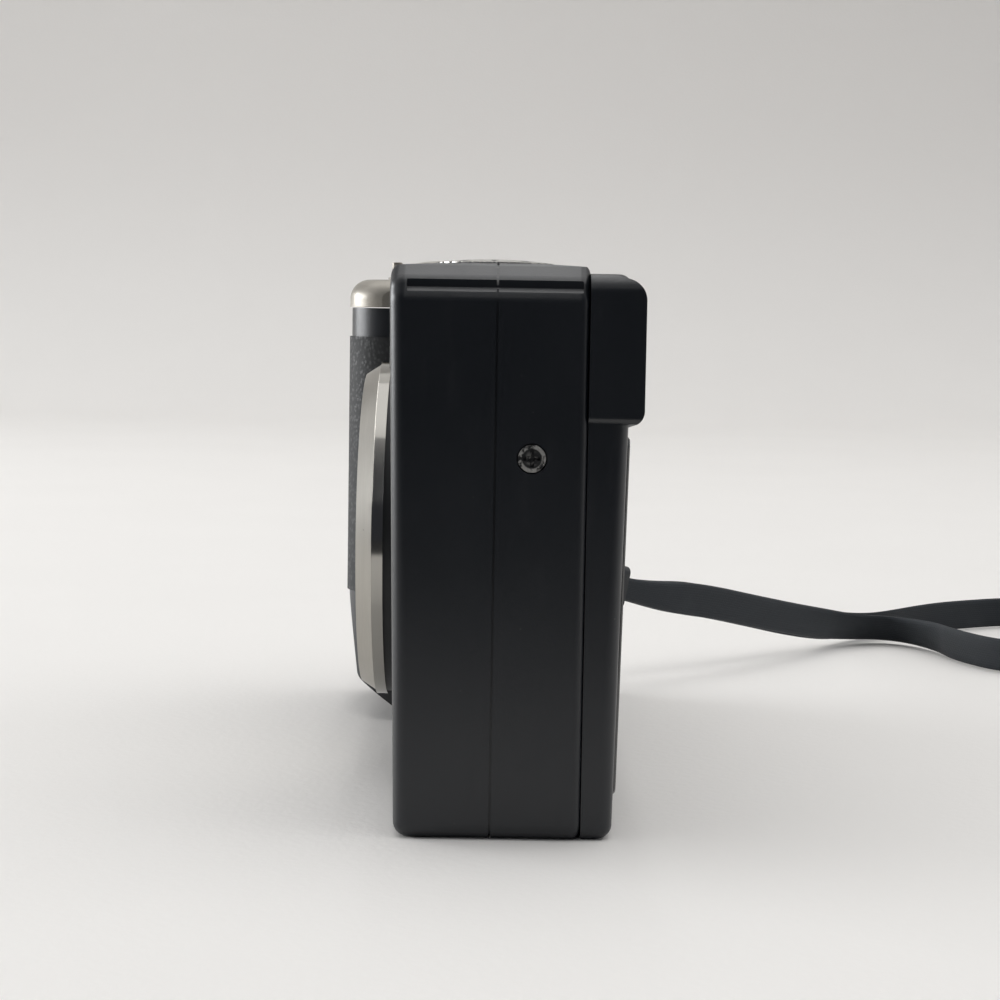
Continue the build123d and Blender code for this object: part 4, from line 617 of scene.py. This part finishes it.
# %% Draw the lines of cord and tape
cord_route = [
    (-57.41, 9.24, 17.17), (-55.25, 6.50, 18.07), (-55.86, 2.43, 22.80), (-54.05, -2.43, 24.00),
    (-52.27, -2.76, 24.00), (-51.14, -1.35, 24.00), (-53.20, 3.45, 22.80), (-54.23, 7.31, 18.07),
    (-56.39, 10.04, 17.17)]
tape_route = [
    (-61.92, 14.31, 15.43), (-66.12, 19.63, 13.68), (-74.00, 28.40, 12.00),
    (-83.00, 37.80, 9.10), (-94.00, 48.20, 5.60), (-107.00, 59.20, 2.90),
    (-117.00, 70.50, 2.90), (-125.50, 83.00, 2.90), (-132.50, 96.00, 2.90),
    (-130.00, 110.50, 2.90), (-117.50, 118.50, 2.90), (-102.00, 120.00, 2.90),
    (-88.00, 114.50, 2.90), (-77.00, 103.50, 2.90), (-71.50, 91.00, 2.90),
    (-76.00, 80.50, 2.90), (-87.00, 75.40, 2.90), (-98.50, 73.50, 2.90),
    (-107.20, 67.20, 2.90), (-102.80, 58.90, 3.50), (-92.00, 49.90, 6.00),
    (-81.20, 39.60, 9.10), (-72.20, 30.10, 12.00), (-64.48, 20.93, 13.68),
    (-60.28, 15.61, 15.43)]


def line_points(name, route, steps):
    """The points of a smooth line near the route, in metres."""
    curve = bpy.data.curves.new(name, "CURVE")
    curve.dimensions = "3D"
    curve.resolution_u = steps
    spline = curve.splines.new("NURBS")
    spline.points.add(len(route) - 1)
    for point, place in zip(spline.points, route):
        point.co = (place[0] * mm, place[1] * mm, place[2] * mm, 1)
    spline.order_u = 3
    spline.use_endpoint_u = True
    holder = bpy.data.objects.new(name, curve)
    bpy.context.scene.collection.objects.link(holder)
    bpy.context.view_layer.update()
    drawn = bpy.data.meshes.new_from_object(holder)
    points = [corner.co.copy() for corner in drawn.vertices]
    bpy.data.objects.remove(holder)
    bpy.data.curves.remove(curve)
    bpy.data.meshes.remove(drawn)
    return points


def run_length(points):
    return sum((after - before).length for before, after in zip(points, points[1:]))


cord_line = line_points("cord_line", cord_route, 16)
tape_line = line_points("tape_line", tape_route, 20)
print("cord", round(run_length(cord_line) / mm, 1), "mm in", len(cord_line), "points")
print("tape", round(run_length(tape_line) / mm, 1), "mm in", len(tape_line), "points")

# %% [markdown]
# ## From a line to a body
#
# Both pieces are one closed ring that is drawn along a line. The ring starts as a circle and is
# flattened for the tape. At each point of the line the ring's edges are extruded and the new
# ring is set square to the line. Two numbers are kept with each corner, how far along and how
# far round or across it lies, so that the weave can follow the tape wherever it turns. Blender
# may number new corners in another order each time, so they are sorted before the mesh is kept.

# %% Draw a ring along a line
def blend_stops(stops, share):
    """The value at share between given stops, without sudden changes."""
    for (start, first), (end, second) in zip(stops, stops[1:]):
        if share <= end:
            part = (share - start) / (end - start)
            smooth = part * part * (3 - 2 * part)
            return first + (second - first) * smooth
    return stops[-1][1]


def settle_order(mesh):
    """Sorts corners and faces along a slanted direction, so that each run gives one order."""
    aslant = Vector((0.83, 0.47, 0.29))
    mesh.verts.sort(key=lambda corner: corner.co.dot(aslant))
    mesh.faces.sort(key=lambda face: face.calc_center_median().dot(aslant))


def drawn_body(name, points, width, thickness, corners, widths, turns):
    """A closed body of a flattened ring along the points, with along and across kept."""
    mesh = bmesh.new()
    along = mesh.verts.layers.float.new("along")
    across = mesh.verts.layers.float.new("across")
    depth = mesh.verts.layers.float.new("depth")
    bmesh.ops.create_circle(mesh, segments=corners, radius=1.0)
    for corner in mesh.verts:
        flat = abs(corner.co.x) ** 0.72
        corner[across] = flat if corner.co.x > 0 else -flat
        corner[depth] = max(-1.0, min(1.0, corner.co.y * 1.25))
    whole = run_length(points)
    gone = 0.0
    ring = list(mesh.edges)
    for index, point in enumerate(points):
        before = points[max(index - 1, 0)]
        after = points[min(index + 1, len(points) - 1)]
        ahead = (after - before).normalized()
        gone += (point - before).length
        if index:
            drawn = bmesh.ops.extrude_edge_only(mesh, edges=ring)["geom"]
            ring = [part for part in drawn if isinstance(part, bmesh.types.BMEdge)]
        rise = (Vector((0, 0, 1)) - ahead * ahead.z).normalized()
        side = ahead.cross(rise)
        turn = radians(blend_stops(turns, gone / whole))
        rise, side = (rise * cos(turn) + side * sin(turn), side * cos(turn) - rise * sin(turn))
        half = width / 2 * blend_stops(widths, gone / whole)
        for corner in {corner for edge in ring for corner in edge.verts}:
            corner.co = (point + rise * (corner[across] * half)
                         + side * (corner[depth] * thickness / 2))
            corner[along] = gone
    bmesh.ops.holes_fill(mesh, edges=mesh.edges)
    bmesh.ops.recalc_face_normals(mesh, faces=mesh.faces)
    for face in mesh.faces:
        face.smooth = True
    settle_order(mesh)
    data = bpy.data.meshes.new(name)
    mesh.to_mesh(data)
    mesh.free()
    body = bpy.data.objects.new(name, data)
    bpy.context.scene.collection.objects.link(body)
    return body


steady = [(0.0, 1.0), (1.0, 1.0)]
unturned = [(0.0, 0.0), (1.0, 0.0)]
gathered = [(0.0, 0.66), (0.055, 0.99), (0.5, 1.0), (0.945, 0.99), (1.0, 0.66)]
rolled_over = [(0.0, 0.0), (0.15, 0.0), (0.235, 32.0), (0.31, 0.0), (0.70, 0.0),
               (0.785, -30.0), (0.86, 0.0), (1.0, 0.0)]
cord = drawn_body("wrist_cord", cord_line, 1.2 * mm, 1.2 * mm, 12, steady, unturned)
tape = drawn_body("wrist_tape", tape_line, 5.5 * mm, 0.9 * mm, 20, gathered, rolled_over)
print("cord faces", len(cord.data.polygons), "tape faces", len(tape.data.polygons))

# %% [markdown]
# ## Woven nylon
#
# A flat tape is a warp of thick yarns along its length, held by finer yarns that cross it. Each
# warp yarn bulges between two crossings, and its neighbour bulges half a step later. Two sines
# draw that: one across gives the yarns, one along gives the bulges, and the second is shifted
# by the number of the yarn. The cord is braided, so there the steps run aslant round it.

# %% Mix the weave
def woven(name, yarns, step, slant):
    """Nylon that follows the along and across numbers of a drawn body."""
    cloth = Finish(name, Sheen_Weight=0.12, Sheen_Roughness=0.4)
    along = cloth.place.node("Attribute", {"attribute_name": "along"}, output="Fac")
    across = cloth.place.node("Attribute", {"attribute_name": "across"}, output="Fac")
    lane = across * (yarns / 2)
    yarn = (lane.wave(1.0) * 0.9 + 0.1).root()
    odd = lane.sum("FLOOR", lane)
    shift = lane.sum("MODULO", odd + 64, 2.0) * (step / 2) + across * slant
    bulge = (along + shift).wave(step)
    hair = cloth.noise(0.16 * mm, 3.0)
    worn = cloth.noise(7 * mm, 3.0)
    height = yarn * 0.65 + bulge * 0.2 + hair * 0.2
    # painted shade: the colour is darker where the weave is low, between the yarns and bulges
    deep = cloth.colour(height, (0.0042, 0.0062, 0.0088), (0.018, 0.024, 0.031))
    pale = cloth.colour(worn.rises(0.55, 0.75) * 0.35, deep, (0.030, 0.036, 0.043))
    cloth.set("Base Color", pale)
    cloth.set("Roughness", 0.62 + hair * 0.2)
    cloth.relief(height, 0.05 * mm)
    return cloth


tape_weave = woven("woven_tape", 14, 0.60 * mm, 0.0)
cord_braid = woven("braided_cord", 6, 1.1 * mm, 0.5 * mm)
tape.data.materials.append(tape_weave.material)
cord.data.materials.append(cord_braid.material)
for piece, stands_for in ((tape, "strap_webbing"), (cord, "strap_cord")):
    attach(piece, "body")
    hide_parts(stands_for)
print("strap woven and hung on the body")

# %% [markdown]
# ## Marks printed on the controls
#
# The dial carries plain numbers, and each arrow key a small arrow. Print is a thin layer of
# ink, so a mark is modelled as a sheet a twentieth of a millimetre thick that follows the face
# below it. A number begins as a text object, becomes a mesh, and then each of its corners is
# moved to its place: outwards on the dial, turned round it, and down onto the crowned face.

# %% Print numbers on the dial
ink = Finish("pale_ink")
fade = ink.noise(0.5 * mm, 3.0)
ink.set("Base Color", ink.colour(fade, (0.56, 0.56, 0.54), (0.70, 0.70, 0.68)))
ink.set("Roughness", fade * 0.15 + 0.45)
dark_ink = Finish("dark_ink")
fade = dark_ink.noise(0.5 * mm, 3.0)
dark_ink.set("Base Color", dark_ink.colour(fade, (0.014, 0.014, 0.015), (0.030, 0.030, 0.031)))
dark_ink.set("Roughness", fade * 0.15 + 0.40)

dial_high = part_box("mode_dial")[1]
dial_radius = 8 * mm
dial_crown = 0.5 * mm
ball = (dial_radius ** 2 + dial_crown ** 2) / (2 * dial_crown)
ink_height = 0.02 * mm
ink_thickness = 0.05 * mm
number_radius = 5.7 * mm
number_size = 2.3 * mm


def dial_face(away):
    """Height of the dial's crowned face at a distance from its middle."""
    return dial_high.z - ball + sqrt(ball ** 2 - away ** 2)


def add_mark(name, mesh, finish, body):
    """Makes a piece of printed ink out of a finished bmesh."""
    bmesh.ops.recalc_face_normals(mesh, faces=mesh.faces)
    settle_order(mesh)
    data = bpy.data.meshes.new(name)
    mesh.to_mesh(data)
    mesh.free()
    data.materials.append(finish.material)
    piece = bpy.data.objects.new(name, data)
    bpy.context.scene.collection.objects.link(piece)
    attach(piece, body)
    return piece


def number_mesh(text, size):
    """A number as a thin sheet about the origin, in a bmesh."""
    letters = bpy.data.curves.new("number", "FONT")
    letters.body = text
    letters.size = size
    letters.align_x = "CENTER"
    letters.align_y = "CENTER"
    letters.extrude = ink_thickness / 2
    letters.resolution_u = 3
    holder = bpy.data.objects.new("number", letters)
    bpy.context.scene.collection.objects.link(holder)
    bpy.context.view_layer.update()
    flat = bpy.data.meshes.new_from_object(holder)
    bpy.data.objects.remove(holder)
    mesh = bmesh.new()
    mesh.from_mesh(flat)
    bpy.data.meshes.remove(flat)
    bmesh.ops.remove_doubles(mesh, verts=mesh.verts, dist=0.001 * mm)
    bmesh.ops.subdivide_edges(mesh, edges=[edge for edge in mesh.edges
                                           if edge.calc_length() > 0.6 * mm], cuts=2)
    return mesh


numbers = bmesh.new()
for index in range(8):
    one = number_mesh(str(index + 1), number_size)
    turn = Matrix.Rotation(radians(-45 * index), 4, "Z")
    bmesh.ops.translate(one, verts=one.verts, vec=(0, -number_radius, 0))
    bmesh.ops.rotate(one, verts=one.verts, cent=(0, 0, 0), matrix=turn.to_3x3())
    holder = bpy.data.meshes.new("one")
    one.to_mesh(holder)
    one.free()
    numbers.from_mesh(holder)
    bpy.data.meshes.remove(holder)
for corner in numbers.verts:
    away = sqrt(corner.co.x ** 2 + corner.co.y ** 2)
    corner.co.z += dial_face(away) - ink_thickness / 2 + ink_height
bmesh.ops.translate(numbers, verts=numbers.verts, vec=(dial_middle[0], dial_middle[1], 0))
add_mark("dial_numbers", numbers, dark_ink, "mode_dial")
print("numbers on the dial, its top at", round(dial_high.z / mm, 2), "mm")

# %% [markdown]
# ## Arrows on the keys, and a pointer for the dial
#
# An arrow is a circle of three corners, which is a triangle, extruded into a thin sheet. The
# keys stand on a back that leans by a little over a degree, so the arrow is tilted with it and
# moved onto the key's face. The pointer on the top cover is the same mark. The top is crowned
# from front to back, so the pointer is lowered and tilted to lie on it.

# %% Print the small marks
lean = radians(1.2)


def triangle_mark(size, turn):
    """A thin triangle about the origin, facing up, with its tip towards turn."""
    mesh = bmesh.new()
    bmesh.ops.create_circle(mesh, segments=3, radius=size, cap_ends=True)
    bmesh.ops.bevel(mesh, geom=mesh.verts, offset=size * 0.16, offset_type="OFFSET",
                    segments=2, profile=0.5, affect="VERTICES", material=-1)
    lifted = bmesh.ops.extrude_face_region(mesh, geom=mesh.faces)["geom"]
    bmesh.ops.translate(mesh, vec=(0, 0, ink_thickness), verts=[
        part for part in lifted if isinstance(part, bmesh.types.BMVert)])
    bmesh.ops.rotate(mesh, verts=mesh.verts, cent=(0, 0, 0),
                     matrix=Matrix.Rotation(turn, 3, "Z"))
    return mesh


to_back = Matrix.Rotation(pi, 3, "Z") @ Matrix.Rotation(pi / 2, 3, "X")
for key, turn in (("up_key", 0), ("left_key", 90), ("down_key", 180), ("right_key", 270)):
    key_low, key_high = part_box(key)
    middle = (key_low + key_high) / 2
    face_y = key_high.y - (key_high.z - middle.z) * tan(lean)
    arrow = triangle_mark(0.75 * mm, radians(turn))
    bmesh.ops.rotate(arrow, verts=arrow.verts, cent=(0, 0, 0), matrix=to_back)
    bmesh.ops.rotate(arrow, verts=arrow.verts, cent=(0, 0, 0),
                     matrix=Matrix.Rotation(-lean, 3, "X"))
    bmesh.ops.translate(arrow, verts=arrow.verts, vec=(
        middle.x, face_y - ink_thickness + ink_height, middle.z))
    add_mark(key.replace("key", "arrow"), arrow, ink, key)

crown_radius = 157.6 * mm
crown_top = Vector((0, -5 * mm, 64.7 * mm))
pointer_reach = 9.4 * mm
pointer_y = dial_middle[1] - pointer_reach
from_crown = crown_top.y - pointer_y
crown_drop = crown_radius - sqrt(crown_radius ** 2 - from_crown ** 2)
pointer = triangle_mark(0.8 * mm, 0)
bmesh.ops.rotate(pointer, verts=pointer.verts, cent=(0, 0, 0),
                 matrix=Matrix.Rotation(atan(from_crown / crown_radius), 3, "X"))
bmesh.ops.translate(pointer, verts=pointer.verts, vec=(
    dial_middle[0], pointer_y, crown_top.z - crown_drop - ink_thickness + ink_height))
add_mark("dial_pointer", pointer, ink, "body")
print("arrows and pointer printed")

# %% [markdown]
# ## The studio
#
# The object stands on a pale sheet that sweeps up into a background, so that no line shows
# where floor meets wall. The sheet is one strip of faces: an edge is drawn out from the front,
# round a quarter circle and up. The wall end is painted a little greyer than the floor: painted
# shade, as on paper that the lamp reaches less. On the near side, below the picture, the sheet
# is painted black: painted shade that keeps the floor's glow off the flat side of the object.

# %% Lay the sheet
sheet = bmesh.new()
half_width = 1.6
sheet_front = 0.9
wall_height = 1.6
sweep_start = -0.85
sweep_radius = 0.30
sweep_steps = 16
start = [sheet.verts.new((sheet_front, side * half_width, 0)) for side in (-1, 1)]
strip = [sheet.edges.new(start)]
stops = [Vector((sweep_start, 0, 0))]
for step in range(1, sweep_steps + 1):
    bend = radians(90 * step / sweep_steps)
    stops.append(Vector((sweep_start - sweep_radius * sin(bend), 0,
                         sweep_radius * (1 - cos(bend)))))
stops.append(stops[-1] + Vector((0, 0, wall_height)))
place = Vector((sheet_front, 0, 0))
for stop in stops:
    drawn = bmesh.ops.extrude_edge_only(sheet, edges=strip)["geom"]
    strip = [part for part in drawn if isinstance(part, bmesh.types.BMEdge)]
    bmesh.ops.translate(sheet, vec=stop - place, verts=[
        part for part in drawn if isinstance(part, bmesh.types.BMVert)])
    place = stop
for face in sheet.faces:
    face.smooth = True
sheet_data = bpy.data.meshes.new("paper_sheet")
sheet.to_mesh(sheet_data)
sheet.free()
paper_sheet = bpy.data.objects.new("paper_sheet", sheet_data)
bpy.context.scene.collection.objects.link(paper_sheet)

paper = Finish("pale_paper")
x, y, z = paper.place.parts()
# painted shade: the wall end of the sheet is greyer, as paper that the lamp reaches less
far = z.rises(-0.03, 0.20)
# painted shade: the near part of the sheet, below the picture, is black
near_painted_shade = x.rises(0.13, 0.17)
mottle = paper.noise(60 * mm, 3.0)
fibre = paper.noise(1.2 * mm, 4.0)
floor_colour = paper.colour(mottle, (0.85, 0.835, 0.81), (0.88, 0.865, 0.84))
sheet_colour = paper.colour(far, floor_colour, (0.77, 0.75, 0.725))
paper.set("Base Color", paper.colour(near_painted_shade, sheet_colour, (0.03, 0.03, 0.032)))
paper.set("Roughness", fibre * 0.2 + 0.6)
paper.relief(fibre, 0.05 * mm)
sheet_data.materials.append(paper.material)
print("sheet laid from x", sheet_front, "m to", round(sweep_start - sweep_radius, 2), "m")

# %% [markdown]
# ## The light
#
# One broad lamp hangs overhead and a little behind, for wide, soft shadows. Two narrow strips,
# one behind the object and one on the viewer's side, draw thin bright lines on the rounded
# shoulder and on the lens ring's band. A low lamp on the lens's side lights the rounded front
# edge and hardly reaches the floor. The world gives the rest. It is dark on the viewer's side, so
# that the flat side of the object stays dark. The strengths are set so that paper of a colour
# renders about as that colour.

# %% Hang the lamps
def hang_lamp(name, place, aim, width, depth, power, colour):
    """A flat rectangular lamp that faces a point."""
    lamp = bpy.data.lights.new(name, "AREA")
    lamp.shape = "RECTANGLE"
    lamp.size = width
    lamp.size_y = depth
    lamp.energy = power
    lamp.color = colour
    holder = bpy.data.objects.new(name, lamp)
    holder.location = place
    holder.rotation_euler = (Vector(aim) - Vector(place)).to_track_quat("-Z", "Y").to_euler()
    bpy.context.scene.collection.objects.link(holder)
    return holder


lamps = (
    ("overhead_lamp", (-0.35, 0.20, 1.25), (-0.05, 0, 0), 2.5, 2.0, 11.8, (1.0, 0.99, 0.97)),
    ("low_side_lamp", (-0.30, -0.95, 0.19), (0, 0, 0.05), 0.7, 0.3, 6.2, (0.97, 0.985, 1.0)),
    ("rear_strip", (-0.26, 0, 1.06), (0, 0, 0.05), 0.05, 1.2, 0.9, (1.0, 1.0, 1.0)),
    ("near_strip", (0.70, 0, 0.90), (0, 0, 0.05), 0.05, 1.2, 0.9, (1.0, 1.0, 1.0)))
for name, place, aim, width, depth, power, colour in lamps:
    hang_lamp(name, place, aim, width, depth, power, colour)
world = bpy.data.worlds.new("studio")
bpy.context.scene.world = world
world.use_nodes = True
air = Wire(world.node_tree)
direction = air.node("TexCoord", output="Generated")
x, y, z = direction.parts()
behind_camera = x.rises(0.05, 0.75)
room = air.node("Mix", {"data_type": "RGBA"}, {
    0: behind_camera, 6: (0.72, 0.72, 0.73, 1), 7: (0.055, 0.058, 0.068, 1)}, output=2)
backdrop = world.node_tree.nodes["Background"]
air.feed(backdrop.inputs["Color"], room)
backdrop.inputs["Strength"].default_value = 1.0
print(len(lamps), "lamps and the room's light")
